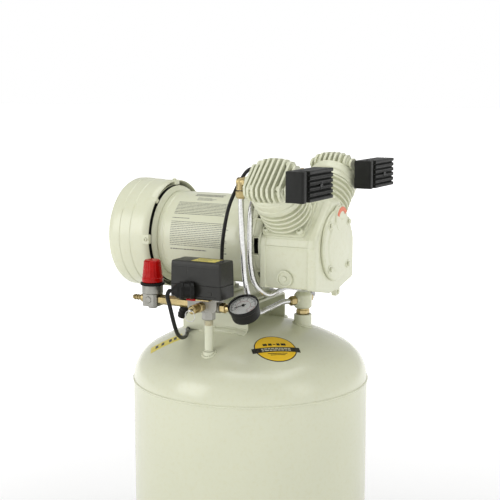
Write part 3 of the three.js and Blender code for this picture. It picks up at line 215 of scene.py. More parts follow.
class Shape:
    """Closed bodies gathered into one piece."""

    def __init__(self):
        self.bm = bmesh.new()

    def lathe(self, profile, origin=(0, 0, 0), axis=(0, 0, 1), sides=48, loop=False, twist=0.0):
        """Turns (distance along the axis, radius) pairs round the axis."""
        origin, axis = Vector(origin), Vector(axis).normalized()
        side, other = basis(axis)
        rings = []
        for along, radius in profile:
            centre = origin + axis * along
            if radius < 1e-5:
                rings.append([self.bm.verts.new(centre)])
                continue
            rings.append([
                self.bm.verts.new(centre + (side * cos(twist + a) + other * sin(twist + a)) * radius)
                for a in turns(sides)])
        pairs = list(zip(rings, rings[1:]))
        if loop:
            pairs.append((rings[-1], rings[0]))
        for low, high in pairs:
            self._band(low, high, sides)
        if not loop:
            for ring in (rings[0], rings[-1]):
                if len(ring) > 1:
                    self.bm.faces.new(ring)
        return self

    def _band(self, low, high, sides):
        for i in range(sides):
            j = (i + 1) % sides
            corners = [low[i % len(low)], low[j % len(low)], high[j % len(high)], high[i % len(high)]]
            corners = list(dict.fromkeys(corners))
            if len(corners) > 2:
                self.bm.faces.new(corners)

    def bar(self, start, end, radius, sides=32, edge=0.6, end_radius=None):
        """A round or many-sided bar with chamfered ends."""
        start, end = Vector(start), Vector(end)
        length = (end - start).length
        last = radius if end_radius is None else end_radius
        edge = min(edge, length * 0.3, radius * 0.5)
        profile = [(0, 0), (0, radius - edge), (edge, radius), (length - edge, last),
                   (length, last - edge), (length, 0)]
        return self.lathe(profile, start, end - start, sides)

    def post(self, x, y, low, high, radius, sides=32, edge=0.6):
        """An upright bar."""
        return self.bar((x, y, low), (x, y, high), radius, sides, edge)

    def along_line(self, start, end, radius, sides=32, edge=0.6, level=LINE_Z):
        """A bar along the control line, from one x to another."""
        return self.bar((start, LINE_Y, level), (end, LINE_Y, level), radius, sides, edge)

    def block(self, x0, x1, y0, y1, z0, z1):
        return self.prism(rect(x0, x1, y0, y1), z0, z1, "z")

    def prism(self, outline, low, high, axis="x"):
        """Extrudes an outline: (y, z) along x, (x, z) along y or (x, y) along z."""
        place = {"x": lambda a, b, w: (w, a, b), "y": lambda a, b, w: (a, w, b),
                 "z": lambda a, b, w: (a, b, w)}[axis]
        return self.loft([[place(a, b, w) for a, b in outline] for w in (low, high)])

    def loft(self, rings):
        """Joins closed rings of places into one body and caps both ends."""
        rings = [[self.bm.verts.new(place) for place in ring] for ring in rings]
        for low, high in zip(rings, rings[1:]):
            self._band(low, high, len(low))
        self.bm.faces.new(rings[0])
        self.bm.faces.new(rings[-1])
        return self

    def sweep(self, path, radius, sides=16, ripple=None):
        """A round bar along a path; ripple(i) scales its radius at a step."""
        rings = []
        side = None
        for i, point in enumerate(path):
            ahead = (path[min(i + 1, len(path) - 1)] - path[max(i - 1, 0)]).normalized()
            if side is None:
                side = basis(ahead)[0]
            side = (side - ahead * side.dot(ahead)).normalized()
            other = ahead.cross(side)
            size = radius * (ripple(i) if ripple else 1)
            rings.append([point + (side * cos(a) + other * sin(a)) * size for a in turns(sides)])
        return self.loft(rings)

    def slab(self, base, along, across, start, stop, half, lift):
        """A thin straight bar on a plane, such as a dial mark."""
        normal = along.cross(across)
        return self.loft([[base + along * a + across * b + normal * height
                           for a, b in ((start, -half), (stop, -half), (stop, half), (start, half))]
                          for height in (0, lift)])

    def bead(self, path, radius=2.2):
        """A weld bead with its small overlapping ripples."""
        return self.sweep(path, radius, 10, lambda i: 1 + 0.14 * sin(i * 1.9))

    def ring_bead(self, centre, ring, radius=2.0):
        count = int(ring * 3)
        path = [Vector((centre[0] + ring * cos(a), centre[1] + ring * sin(a), centre[2]))
                for a in (2 * pi * i / count for i in range(count + 1))]
        return self.bead(path, radius)

    def bolt(self, point, axis, radius=5.5, height=4.5, washer=True):
        """A hexagon head on its washer, standing on a face."""
        point, axis = Vector(point), Vector(axis).normalized()
        if washer:
            self.lathe([(-1, 0), (-1, radius * 1.35), (1, radius * 1.35), (1.3, radius * 1.25), (1.3, 0)],
                       point, axis, 32)
        self.lathe([(1, 0), (1, radius), (height, radius), (height + 0.9, radius * 0.84),
                    (height + 0.9, 0)], point, axis, 6, twist=random.random())
        return self

    def screw(self, point, axis, radius=3.2, height=2.2):
        """A round screw head with a socket."""
        return self.lathe([
            (-1, 0), (-1, radius), (height * 0.6, radius), (height, radius * 0.8),
            (height, radius * 0.5), (height * 0.3, radius * 0.45), (height * 0.3, 0),
        ], point, axis, 20)

    def turned_by(self, matrix):
        bmesh.ops.transform(self.bm, matrix=matrix, verts=self.bm.verts)
        return self

    def piece(self, name, material, body=ROOT, nodes=(), slot=None, bevel=0, sharp=32, segments=3):
        """Turns the shape into a piece that rides on a body, in metres."""
        bmesh.ops.recalc_face_normals(self.bm, faces=self.bm.faces)
        to_row = Matrix.Translation(MOTOR) @ Matrix.Scale(MM, 4)
        bmesh.ops.transform(self.bm, matrix=to_row, verts=self.bm.verts)
        mesh = bpy.data.meshes.new(name)
        self.bm.to_mesh(mesh)
        self.bm.free()
        mesh.shade_smooth()
        mesh.set_sharp_from_angle(angle=radians(sharp))
        mesh.materials.append(material)
        obj = add_object(name, mesh)
        if bevel:
            rounding = obj.modifiers.new("rounding", "BEVEL")
            rounding.width = bevel * MM
            rounding.segments = segments
            rounding.limit_method = "ANGLE"
            rounding.angle_limit = radians(32)
            rounding.harden_normals = True
        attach(obj, body)
        if nodes:
            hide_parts(*nodes)
        return obj


def add_object(name, data):
    """A new object in the scene."""
    obj = bpy.data.objects.new(name, data)
    bpy.context.scene.collection.objects.link(obj)
    return obj


# ---------------------------------------------------------------- materials

class Look:
    """A Principled material with its node helpers."""

    def __init__(self, name, roughness, metallic=0.0):
        self.material = bpy.data.materials.new(name)
        self.material.use_nodes = True
        self.tree = self.material.node_tree
        self.shader = self.tree.nodes["Principled BSDF"]
        self.shader.inputs["Metallic"].default_value = metallic
        self.shader.inputs["Roughness"].default_value = roughness
        self.place = self.tree.nodes.new("ShaderNodeTexCoord").outputs["Object"]

    def noise(self, scale, detail=3.0, stretch=None, roughness=0.5):
        node = self.tree.nodes.new("ShaderNodeTexNoise")
        node.inputs["Scale"].default_value = scale
        node.inputs["Detail"].default_value = detail
        node.inputs["Roughness"].default_value = roughness
        place = self.place
        if stretch:
            mapping = self.tree.nodes.new("ShaderNodeMapping")
            mapping.inputs["Scale"].default_value = stretch
            self.tree.links.new(place, mapping.inputs["Vector"])
            place = mapping.outputs["Vector"]
        self.tree.links.new(place, node.inputs["Vector"])
        return node.outputs["Fac"]

    def ramp(self, value, stops):
        node = self.tree.nodes.new("ShaderNodeValToRGB")
        elements = node.color_ramp.elements
        while len(elements) < len(stops):
            elements.new(0.5)
        for element, (place, colour) in zip(elements, stops):
            element.position = place
            element.color = (*colour, 1)
        self.tree.links.new(value, node.inputs["Fac"])
        return node.outputs["Color"]

    def blend(self, factor, first, second, kind="MIX"):
        node = self.tree.nodes.new("ShaderNodeMix")
        node.data_type = "RGBA"
        node.blend_type = kind
        if isinstance(factor, float):
            node.inputs["Factor"].default_value = factor
        else:
            self.tree.links.new(factor, node.inputs["Factor"])
        self.tree.links.new(first, node.inputs["A"])
        self.tree.links.new(second, node.inputs["B"])
        return node.outputs["Result"]

    def colour(self, output):
        self.tree.links.new(output, self.shader.inputs["Base Color"])
        return self

    def rough(self, value, low, high):
        node = self.tree.nodes.new("ShaderNodeMapRange")
        node.inputs["From Min"].default_value = 0.3
        node.inputs["From Max"].default_value = 0.7
        node.inputs["To Min"].default_value = low
        node.inputs["To Max"].default_value = high
        self.tree.links.new(value, node.inputs["Value"])
        self.tree.links.new(node.outputs["Result"], self.shader.inputs["Roughness"])
        return self

    def bump(self, *layers):
        """Each layer is a height output, its strength and its depth in metres."""
        normal = None
        for height, strength, depth in layers:
            node = self.tree.nodes.new("ShaderNodeBump")
            node.inputs["Strength"].default_value = strength
            node.inputs["Distance"].default_value = depth
            self.tree.links.new(height, node.inputs["Height"])
            if normal:
                self.tree.links.new(normal, node.inputs["Normal"])
            normal = node.outputs["Normal"]
        self.tree.links.new(normal, self.shader.inputs["Normal"])
        return self


def scaled(colour, factor):
    return tuple(min(1.0, c * factor) for c in colour)


CREAM = (0.640, 0.652, 0.490)


def enamel(name, colour=CREAM, grain=0.02, grain_scale=900, rough=0.31, dust=0.985):
    """Sprayed enamel: faint mottling, orange peel and a little settled dust."""
    look = Look(name, rough)
    mottle = look.ramp(look.noise(9, 4), [(0.3, scaled(colour, 0.965)), (0.7, colour)])
    specks = look.ramp(look.noise(160, 6, roughness=0.7),
                       [(0.36, (dust, dust * 0.99, dust * 0.95)), (0.5, (1, 1, 1))])
    look.colour(look.blend(1.0, mottle, specks, "MULTIPLY"))
    look.bump((look.noise(grain_scale, 2), grain, 0.0004))
    look.shader.inputs["Coat Weight"].default_value = 0.25
    look.shader.inputs["Coat Roughness"].default_value = 0.18
    return look.material


def moulded(name, colour, rough=(0.42, 0.55), grain=0.25, grain_scale=1500, shine=0.3):
    """Moulded plastic or rubber with a fine grain and scuffed highlights."""
    look = Look(name, rough[0])
    look.colour(look.ramp(look.noise(60, 5), [(0.3, scaled(colour, 0.8)), (0.7, scaled(colour, 1.15))]))
    look.rough(look.noise(220, 4), *rough)
    look.bump((look.noise(grain_scale, 3), grain, 0.0003))
    look.shader.inputs["Specular IOR Level"].default_value = shine
    return look.material


def metal(name, colour, rough=(0.2, 0.34), stretch=(1, 1, 1), scale=300, grain=0.12, tarnish=0.72):
    """Bare metal with tool marks or drawing lines and some tarnish."""
    look = Look(name, rough[0], 1.0)
    clean = look.ramp(look.noise(25, 5), [(0.32, scaled(colour, tarnish)), (0.66, colour)])
    lines = look.noise(scale, 3, stretch)
    marks = look.ramp(lines, [(0.3, (0.86, 0.86, 0.86)), (0.6, (1, 1, 1))])
    look.colour(look.blend(1.0, clean, marks, "MULTIPLY"))
    look.rough(look.noise(90, 4), *rough)
    look.bump((lines, grain, 0.0003))
    return look.material


GLOSS = enamel("enamel_gloss", rough=0.25)
CAST = enamel("enamel_on_casting", grain=0.3, grain_scale=420, rough=0.36, dust=0.96)
SHEET = enamel("enamel_on_sheet", grain=0.015, rough=0.31)
BLACK = moulded("black_plastic", (0.008, 0.008, 0.007), shine=0.18)
GREY = moulded("grey_plastic", (0.015, 0.015, 0.012), rough=(0.34, 0.44), shine=0.34)
RIBBED = moulded("filter_plastic", (0.010, 0.0105, 0.009), rough=(0.42, 0.55), shine=0.22)
LEAD = moulded("cable_jacket", (0.010, 0.010, 0.009), rough=(0.22, 0.34), grain=0.06, shine=0.2)
RUBBER = moulded("rubber", (0.014, 0.014, 0.014), rough=(0.6, 0.8), grain=0.4, grain_scale=700)
RED = moulded("red_plastic", (0.42, 0.003, 0.002), rough=(0.22, 0.3), grain=0.03, shine=0.2)
BRASS = metal("brass", (0.54, 0.43, 0.21), rough=(0.24, 0.38), tarnish=0.7)
TUBING = metal("drawn_aluminium", (0.70, 0.70, 0.69), rough=(0.22, 0.3), grain=0.02, tarnish=0.95)
ZINC = metal("zinc_casting", (0.36, 0.355, 0.32), rough=(0.34, 0.48), scale=900, grain=0.2)
STEEL = metal("plated_steel", (0.62, 0.62, 0.60), rough=(0.24, 0.4))
DARK_STEEL = metal("blackened_steel", (0.10, 0.10, 0.10), rough=(0.35, 0.5))
LAMINATED = metal("laminated_steel", (0.25, 0.25, 0.25), rough=(0.4, 0.5), stretch=(30, 1, 1))
INK = moulded("print_ink", (0.13, 0.13, 0.12), rough=(0.5, 0.6), grain=0.02)
YELLOW = enamel("label_yellow", (0.66, 0.54, 0.02), grain=0.02, rough=0.3)
AMBER = enamel("sticker_amber", (0.86, 0.54, 0.012), grain=0.02, rough=0.3)
LABEL_BLACK = moulded("label_black", (0.014, 0.013, 0.010), rough=(0.25, 0.35), grain=0.02)
LABEL_PALE = enamel("label_pale", (0.6, 0.58, 0.45), grain=0.02)
ORANGE = enamel("orange_mark", (0.66, 0.10, 0.004), grain=0.02)
DIAL = enamel("dial_white", (0.90, 0.91, 0.87), grain=0.02)


# ---------------------------------------------------------------- tank

def make_tank():
    lower = [(LOWER_RIM - height, radius) for radius, height in reversed(HEAD)]
    upper = [(UPPER_RIM + height, radius) for radius, height in HEAD]
    shape = Shape().lathe(lower + upper, sides=192)
    for x, y, top, radius in (
            (VALVE_X, VALVE_Y, dome(VALVE_X, VALVE_Y) + VALVE_BOSS, 15),
            (0, LINE_Y, dome(0, LINE_Y) + RISER_BOSS, 9.8)):
        low = dome(x, y) - 12
        shape.lathe(fillet([(low, 0), (low, radius), (top, radius), (top, radius - 4), (low, radius - 4)],
                           1.2, 3, False)[1:], (x, y, 0), sides=40, loop=True)
    base = FLOOR + GROUND_CLEARANCE - 6
    shape.lathe([(base, 0), (base, 13), (base + 1, 14), (base + 14, 14), (base + 14, 0)], sides=40)
    shape.piece("tank_vessel", GLOSS, nodes=["tank_shell"], sharp=40)

    welds = Shape()
    for level in (UPPER_RIM, LOWER_RIM):
        welds.ring_bead((0, 0, level), TANK_RADIUS - 0.8, 2.4)
    for x, y, radius in ((VALVE_X, VALVE_Y, 15.5), (0, LINE_Y, 10.3)):
        welds.bead([Vector((x + radius * cos(a), y + radius * sin(a),
                            dome(x + radius * cos(a), y + radius * sin(a)) + 0.6))
                    for a in (2 * pi * i / 60 for i in range(61))], 2.1)
    seam = radians(SEAM_ANGLE)
    welds.bead([Vector(((TANK_RADIUS - 0.6) * cos(seam), (TANK_RADIUS - 0.6) * sin(seam), z))
                for z in steps(LOWER_RIM, UPPER_RIM, 1.6)], 2.2)
    welds.piece("tank_welds", GLOSS)


def make_plate():
    """A blank rating plate riveted to the back of the tank."""
    shape = Shape()
    radius = TANK_RADIUS + 1.2
    span, half = radians(13), 32
    centre = radians(PLATE_ANGLE)
    count = 12
    for r0, r1, a, h in ((TANK_RADIUS + 0.2, radius, span, half),
                         (radius, radius + 0.9, span * 0.9, half * 0.9)):
        angles = [centre - a + 2 * a * i / count for i in range(count + 1)]
        shape.loft([[(r * cos(angle), r * sin(angle), PLATE_LEVEL + z)
                     for r, z in ((r0, -h), (r1, -h), (r1, h), (r0, h))] for angle in angles])
    for side in (-1, 1):
        for z in (-26, 26):
            angle = centre + side * span * 0.84
            out = Vector((cos(angle), sin(angle), 0))
            shape.screw(out * (radius + 0.6) + Vector((0, 0, PLATE_LEVEL + z)), out, 2.4, 1.6)
    shape.piece("rating_plate", STEEL)


def leg_frame(index):
    """Turns a leg drawn along X to its place round the tank."""
    return Matrix.Rotation(pi / 2 + 2 * pi * index / 3, 4, "Z")


def make_leg(index):
    pad = FLOOR + FOOT_HEIGHT
    top = LOWER_RIM + 14
    shape = Shape()
    shape.block(LEG_RADIUS - 4, LEG_RADIUS, -28, 28, pad, top)
    shape.block(LEG_RADIUS - 46, LEG_RADIUS, -28, 28, pad, pad + 4)
    gusset = fillet([(LEG_RADIUS, pad), (LEG_RADIUS, LOWER_RIM - 8), (LEG_RADIUS - 62, LOWER_RIM - 8),
                     (LEG_RADIUS - 28, pad)], 4)
    shape.prism(gusset, -28, -24, "y")
    shape.prism(gusset, 24, 28, "y")
    shape.turned_by(leg_frame(index)).piece(
        f"leg_plate_{index + 1}", SHEET, nodes=[f"leg_{index + 1}"], bevel=1.2)
    foot = Shape()
    foot.lathe(fillet([(0, 0), (0, 19), (7, 21), (18, 18), (18, 0)], 1.6, 4, False), (FOOT_X, 0, FLOOR))
    for ring in (4, 8, 12):
        foot.lathe([(ring, 19), (ring, 21.2 - ring * 0.12), (ring + 1.4, 21.1 - ring * 0.12),
                    (ring + 1.4, 19)], (FOOT_X, 0, FLOOR), loop=True)
    foot.turned_by(leg_frame(index)).piece(
        f"rubber_foot_{index + 1}", RUBBER, nodes=[f"foot_{index + 1}"])
    stud = Shape().bolt((FOOT_X, 0, pad + 4.4), (0, 0, 1), 7.5, 5)
    stud.post(FOOT_X, 0, pad - 2, pad + 13, 3.8)
    stud.turned_by(leg_frame(index)).piece(f"foot_nut_{index + 1}", STEEL)


def make_drain():
    level = FLOOR + GROUND_CLEARANCE - 20
    shape = Shape()
    shape.post(0, 0, level - 4, level + 26, 7.6)
    shape.post(0, 0, level + 6, level + 14, 11, HEX)
    shape.bar((0, 8, level), (0, -30, level), 8, 40)
    shape.bar((0, -22, level), (0, -32, level), 10, HEX)
    shape.lathe([(0, 3.3), (0, 7), (1, 7.8), (15, 7.8), (16, 7), (16, 3.3)],
                (0, -30, level), (0, -1, 0), loop=True)
    shape.piece("drain_body", BRASS, nodes=["drain_valve"])
    wing = Shape().bar((0, -34, level), (0, -55, level), 2.8)
    outline = fillet([(-13, -3.6), (-6, -2.4), (6, -2.4), (13, -3.6), (13, 3.6), (6, 2.4), (-6, 2.4),
                      (-13, 3.6)], 2.4)
    wing.prism([(x, level + z) for x, z in outline], -60, -54.2, "y")
    wing.piece("drain_handle", BRASS, "drain_wing", ["drain_wing"], bevel=0.8)


# ---------------------------------------------------------------- saddle and motor

def make_saddle():
    bottom = dome(SADDLE_START, SADDLE_HALF) + 7.6
    w, plate = SADDLE_HALF, 4
    outer = fillet([(-w, bottom), (-w, SADDLE_TOP), (w, SADDLE_TOP), (w, bottom)], 9, 6, False)
    inner = fillet([(w - plate, bottom), (w - plate, SADDLE_TOP - plate),
                    (plate - w, SADDLE_TOP - plate), (plate - w, bottom)], 5, 6, False)
    shape = Shape().prism(outer + inner, SADDLE_START, SADDLE_END)
    for side in (-1, 1):
        lip = ((w - 3, -2), (w - 3, 4), (w + 7, 4), (w + 9, 2.5), (w + 9, -2))
        shape.loft([[(x, side * y, dome(x, y) + lift) for y, lift in lip]
                    for x in steps(-55, SADDLE_END, 6)])
    shape.piece("saddle_channel", SHEET, nodes=["motor_saddle"], bevel=0.7)
    welds = Shape()
    for side in (-1, 1):
        for x0, x1 in ((-50, -28), (-8, 12), (20, 31)):
            welds.bead([Vector((x, side * (w + 9.4), dome(x, w + 9.4) + 1)) for x in steps(x0, x1, 1.2)], 1.9)
            welds.bead([Vector((x, side * (w + 0.6), dome(x, w) + 4.4)) for x in steps(x0, x1, 1.2)], 1.4)
    welds.piece("saddle_welds", SHEET)
    bolts = Shape()
    for x in (-56, 12):
        for y in (-50, 50):
            bolts.bolt((x, y, SADDLE_TOP + 4.4), (0, 0, 1), 6.4, 5)
    bolts.piece("motor_bolts", STEEL)


def make_motor():
    shape = Shape()
    inner = MOTOR_RADIUS - 3
    profile = fillet([
        (SHELL_START, inner), (SHELL_START, MOTOR_RADIUS), (SHELL_START + 9, MOTOR_RADIUS),
        (SHELL_START + 10, MOTOR_RADIUS - 0.5), (SHELL_START + 11.5, MOTOR_RADIUS - 0.5),
        (SHELL_START + 12.5, MOTOR_RADIUS), (SHELL_END - 12, MOTOR_RADIUS),
        (SHELL_END - 11, MOTOR_RADIUS - 0.5), (SHELL_END - 9.5, MOTOR_RADIUS - 0.5),
        (SHELL_END - 8.5, MOTOR_RADIUS), (SHELL_END, MOTOR_RADIUS), (SHELL_END, inner)], 0.4, 2)
    shape.lathe(profile, axis=(1, 0, 0), sides=160, loop=True)
    shape.piece("motor_casing", SHEET, nodes=["motor_shell"], sharp=40)
    feet = Shape()
    base, top = SADDLE_TOP + 0.3, -MOTOR_RADIUS * 0.74
    for x in (-56, 12):
        web = fillet([(-54, base), (54, base), (46, base + 14), (44, top), (-44, top), (-46, base + 14)], 3)
        feet.prism(web, x - 2, x + 2)
        feet.prism(fillet(rect(x - 15, x + 15, -60, 60), 6), base, base + 4, "z")
    feet.piece("motor_feet", SHEET, bevel=0.8)


def make_print():
    """Rows of greeked instructions printed on the casing: dashes, no letters."""
    rows = random.Random(7)
    shape = Shape()
    radius = MOTOR_RADIUS + 0.12

    def dash(x0, x1, angle, height):
        shape.loft([[(x, -r * cos(a), r * sin(a)) for x, a in rect(x0, x1, angle, angle + height)]
                    for r in (radius - 0.1, radius + 0.06)])

    left, right = -116, -3
    blocks = [(75, 70, 24, 30, 1.5), (65, 58, 34, 42, 0.95), (54, 33, 4, 6, 1.0),
              (29, 27, 3, 76, 1.0), (24, -7, 3, 0, 0.95), (-12, -12.5, 3, 34, 1.5)]
    for high, low, indent, outdent, tall in blocks:
        angle = high
        while angle >= low:
            x = left + indent
            stop = right - outdent - rows.uniform(0, 12)
            while x < stop:
                word = rows.uniform(1.5, 6.5)
                dash(x, min(x + word, stop), radians(angle), tall / radius)
                x += word + rows.uniform(0.7, 1.2)
            angle -= 2.35
    for x0, x1, a in ((-14, -9, -10), (-12, -6, -14)):
        dash(x0, x1, radians(a), 1.4 / radius)
    shape.piece("printed_lines", INK)


def revolved_sheet(name, profile, keep, thickness, material, nodes, sides=144):
    """A turned sheet-metal skin with cells left out where keep says no."""
    shape = Shape()
    rings = []
    for x, radius in profile:
        rings.append([shape.bm.verts.new((x, radius * cos(a), radius * sin(a))) for a in turns(sides)])
    for row, (low, high) in enumerate(zip(rings, rings[1:])):
        for i in range(sides):
            if keep(row, (i + 0.5) / sides):
                j = (i + 1) % sides
                shape.bm.faces.new((low[i], low[j], high[j], high[i]))
    obj = shape.piece(name, material, nodes=nodes, sharp=28)
    skin = obj.modifiers.new("sheet", "SOLIDIFY")
    skin.thickness = thickness * MM
    skin.offset = -1
    return obj


def make_cowl():
    r = COWL_RADIUS
    profile = [(COWL_FRONT, r)]
    profile += [(x, r) for x in (-160, -180.5)] + [(-182, r + 0.9), (-184, r + 1)]
    profile += [(-200.5, r + 1), (-202, r + 1.9), (-204, r + 2), (-214, r + 2), (-220, r + 1.6)]
    profile += [(-224, r - 0.4), (-226.6, r - 4), (-228, r - 9)]
    slot_rows = len(profile)
    profile += [(-228, 76), (-228, 56), (-228, 53), (-228, 30), (-228, 17), (-227, 12), (-226.5, 4)]

    def keep(row, turn):
        ring = row - slot_rows
        inside = (turn * 24) % 1
        return not (ring in (0, 2) and 0.34 < inside < 0.66)

    revolved_sheet("cowl_drum", profile, keep, 1.4, SHEET, ["fan_cowl"])

    def tab(i):
        half = 4 if i % 2 else 8
        return Shape().prism(fillet(rect(COWL_FRONT - 12, COWL_FRONT + 1, -half, half), 2.5),
                             BELL_RADIUS + 0.6, r + 0.4, "z")

    round_shaft(8, tab).piece("cowl_tabs", SHEET, bevel=0.8)
    round_shaft(4, lambda _: Shape().screw((COWL_FRONT - 5, 0, r + 0.6), (0, 0, 1), 3.4, 2.2)).piece(
        "cowl_screws", SHEET)


def round_shaft(count, make):
    """One shape of copies that make(i) draws above the shaft, set evenly round it."""
    whole = Shape()
    for i, angle in enumerate(turns(count)):
        merge(whole, make(i).turned_by(Matrix.Rotation(angle, 4, "X")))
    return whole


def merge(into, other):
    """Moves another shape's bodies into this one."""
    mesh = bpy.data.meshes.new("merged")
    other.bm.to_mesh(mesh)
    other.bm.free()
    into.bm.from_mesh(mesh)
    bpy.data.meshes.remove(mesh)


def make_bells():
    back, front = BELL_BACK, BELL_FRONT
    rear = Shape()
    rear.lathe(fillet([
        (back, 18), (back, 80), (back + 3, BELL_RADIUS - 2), (back + 6, BELL_RADIUS), (back + 9, BELL_RADIUS),
        (back + 9.4, 78.6), (front - 6.4, 78.6), (front - 6, BELL_RADIUS - 1), (front - 4, BELL_RADIUS - 2),
        (front, MOTOR_RADIUS + 2), (front + 0.2, MOTOR_RADIUS - 3), (front - 8, 74), (back + 6, 70),
        (back + 5, 24), (front - 2, 23), (front - 2, 18)], 1, 4), axis=(1, 0, 0), sides=144, loop=True)
    rear.piece("rear_bell", CAST, nodes=["end_bell_rear"])
    # A black rubber ring laid in the bell's groove under the cowl's front edge: painted shade that makes the
    # gap between cowl and bell read dark.
    gap_shade_ring = Shape().lathe([
        (back + 9.3, 83.4), (back + 9.3, 78.4), (front - 6.3, 78.4), (front - 6.3, 82.8), (front - 7, 82.8),
        (front - 7, 79.6), (back + 10, 79.6), (back + 10, 83.4)], axis=(1, 0, 0), sides=144, loop=True)
    gap_shade_ring.piece("bell_painted_shade_ring", RUBBER)
    rib = fillet([(back - 2.5, 24), (back + 2, 24), (back + 2, 74), (back - 1, 74)], 1)
    round_shaft(12, lambda _: Shape().prism(rib, -1.6, 1.6, "y")).piece(
        "rear_bell_ribs", CAST, bevel=0.5)

    start, end = SHELL_END + 0.3, CASE_START - 0.3
    sides = 144
    profile = [(start, 74.6), (start + 1.5, 75.4), (start + 4.5, 75.4), (start + 5.5, 74),
               (end - 5, 74), (end - 4, 75), (end, 75)]

    def keep(row, turn):
        return not (row == 3 and abs(((turn * 8 + 0.5) % 1) - 0.5) < 0.22)

    revolved_sheet("front_bell", profile, keep, 6, CAST, ["end_bell_front"], sides)
    lip = fillet(rect(start + 4, end - 3, 69, 76), 1)
    round_shaft(8, lambda _: Shape().prism(lip, 13.5, 15.5, "y").prism(lip, -15.5, -13.5, "y")).piece(
        "bell_window_lips", CAST, bevel=0.5)
    bolts = Shape()
    for i in range(4):
        angle = radians(22.5 + 90 * i)
        bolts.bolt((back - 0.5, 62 * cos(angle), 62 * sin(angle)), (-1, 0, 0), 4.5, 3)
    bolts.piece("bell_bolts", STEEL)


def make_fan():
    centre = (COWL_REAR + BELL_BACK) / 2
    shape = Shape()
    shape.lathe(fillet([(-12, 9.5), (-12, 15), (-10, 17), (12, 17), (12, 9.5)], 1.2, 3),
                (centre, 0, 0), (1, 0, 0), 48, loop=True)
    shape.bar((centre - 13, 0, 0), (centre - 9, 0, 0), 11, HEX)
    for angle in turns(8):
        rings = []
        for k in range(9):
            radius = 15 + (77.5 - 15) * k / 8
            pitch = radians(58 - 22 * k / 8)
            chord = 12 + 3 * sin(pi * k / 8)
            ring = []
            for along, thick in ((-1, 0), (-0.5, 0.9), (0, 1.2), (0.5, 0.9), (1, 0), (0.5, -0.5),
                                 (0, -0.6), (-0.5, -0.5)):
                x = centre + along * chord * cos(pitch) + thick * sin(pitch)
                across = along * chord * sin(pitch) - thick * cos(pitch) + radius * 0.06
                y = radius * cos(angle) - across * sin(angle)
                z = radius * sin(angle) + across * cos(angle)
                ring.append((x, y, z))
            rings.append(ring)
        shape.loft(rings)
    shape.piece("fan_wheel", BLACK, "shaft", ["cooling_fan"])


# ---------------------------------------------------------------- pump

def bank_frame(side):
    """Puts a part drawn above the shaft into its cylinder bank."""
    x, tilt = BANKS[side]
    return Matrix.Translation((x, 0, 0)) @ Matrix.Rotation(radians(tilt), 4, "X")


def port(side):
    """The middle of a head's ports."""
    return bank_frame(side) @ Vector((0, 0, PORT_LEVEL))


def case_outline(grow=0.0):
    """The crankcase section with a deck under each bank."""
    reach = DECK * sqrt(2)
    w = CASE_HALF
    half = [(12, CASE_BOTTOM), (w, CASE_BOTTOM + 14), (w, reach - w - 8), (w - 4, reach - w + 4),
            (reach - CASE_TOP, CASE_TOP)]
    outline = half + [(-y, z) for y, z in reversed(half)]
    return [(y * (1 + grow / w), z * (1 + grow / w)) for y, z in outline]


def make_case():
    shape = Shape()
    shape.prism(fillet(case_outline(-1.5), 5, 5), CASE_START, CASE_END - 12)
    shape.prism(fillet(case_outline(), 5, 5), CASE_START, CASE_START + 10)
    corner = 6
    rings = [(CASE_END - 14, 0)]
    for k in range(7):
        turn = radians(15 * k)
        rings.append((CASE_END - corner * (1 - sin(turn)), corner * (1 - cos(turn))))
    shape.loft([[(x, y, z) for y, z in fillet(case_outline(-inset), 5, 5)] for x, inset in rings])
    for side in BANKS:
        x = BANKS[side][0]
        pad = Shape()
        low, high = max(-38, CASE_START - x), min(40, CASE_END - 4 - x)
        left, right = (-45, 40) if side == "rear" else (-40, 45)
        pad.prism(fillet(rect(low, high, left, right), 7), DECK - 9, DECK, "z")
        pad.turned_by(bank_frame(side))
        merge(shape, pad)
    shape.piece("crankcase_body", CAST, nodes=["crankcase"], bevel=1.8)

    fittings = Shape()
    plug = (PLUG_X, -CASE_HALF - 0.4, PLUG_Z)
    fittings.lathe(fillet([(-2, 10.6), (2.6, 10.6), (2.6, 13.4), (-2, 13.4)], 0.9, 3),
                   plug, (0, -1, 0), 56, loop=True)
    fittings.lathe([(-2, 0), (-2, 10.8), (0.4, 10.8), (0.8, 0)], plug, (0, -1, 0), 40)
    fittings.bar((PLUG_X, -CASE_HALF, PLUG_Z), (PLUG_X, -CASE_HALF - 3.6, PLUG_Z), 4.6, HEX)
    fittings.prism(fillet([(8, -86), (22, -84), (24, -72), (6, -72)], 2.5), CASE_END - 9, CASE_END - 1)
    fittings.bar((CASE_END - 2, 15, -80), (CASE_END + 1.5, 15, -80), 3.2)
    fittings.prism([(-CASE_HALF - 0.5, 1), (-CASE_HALF + 3, 1), (-CASE_HALF + 3, 4), (-CASE_HALF - 0.5, 3)],
                   CASE_START + 4, CASE_END - 3)
    fittings.piece("case_fittings", CAST, bevel=0.6)


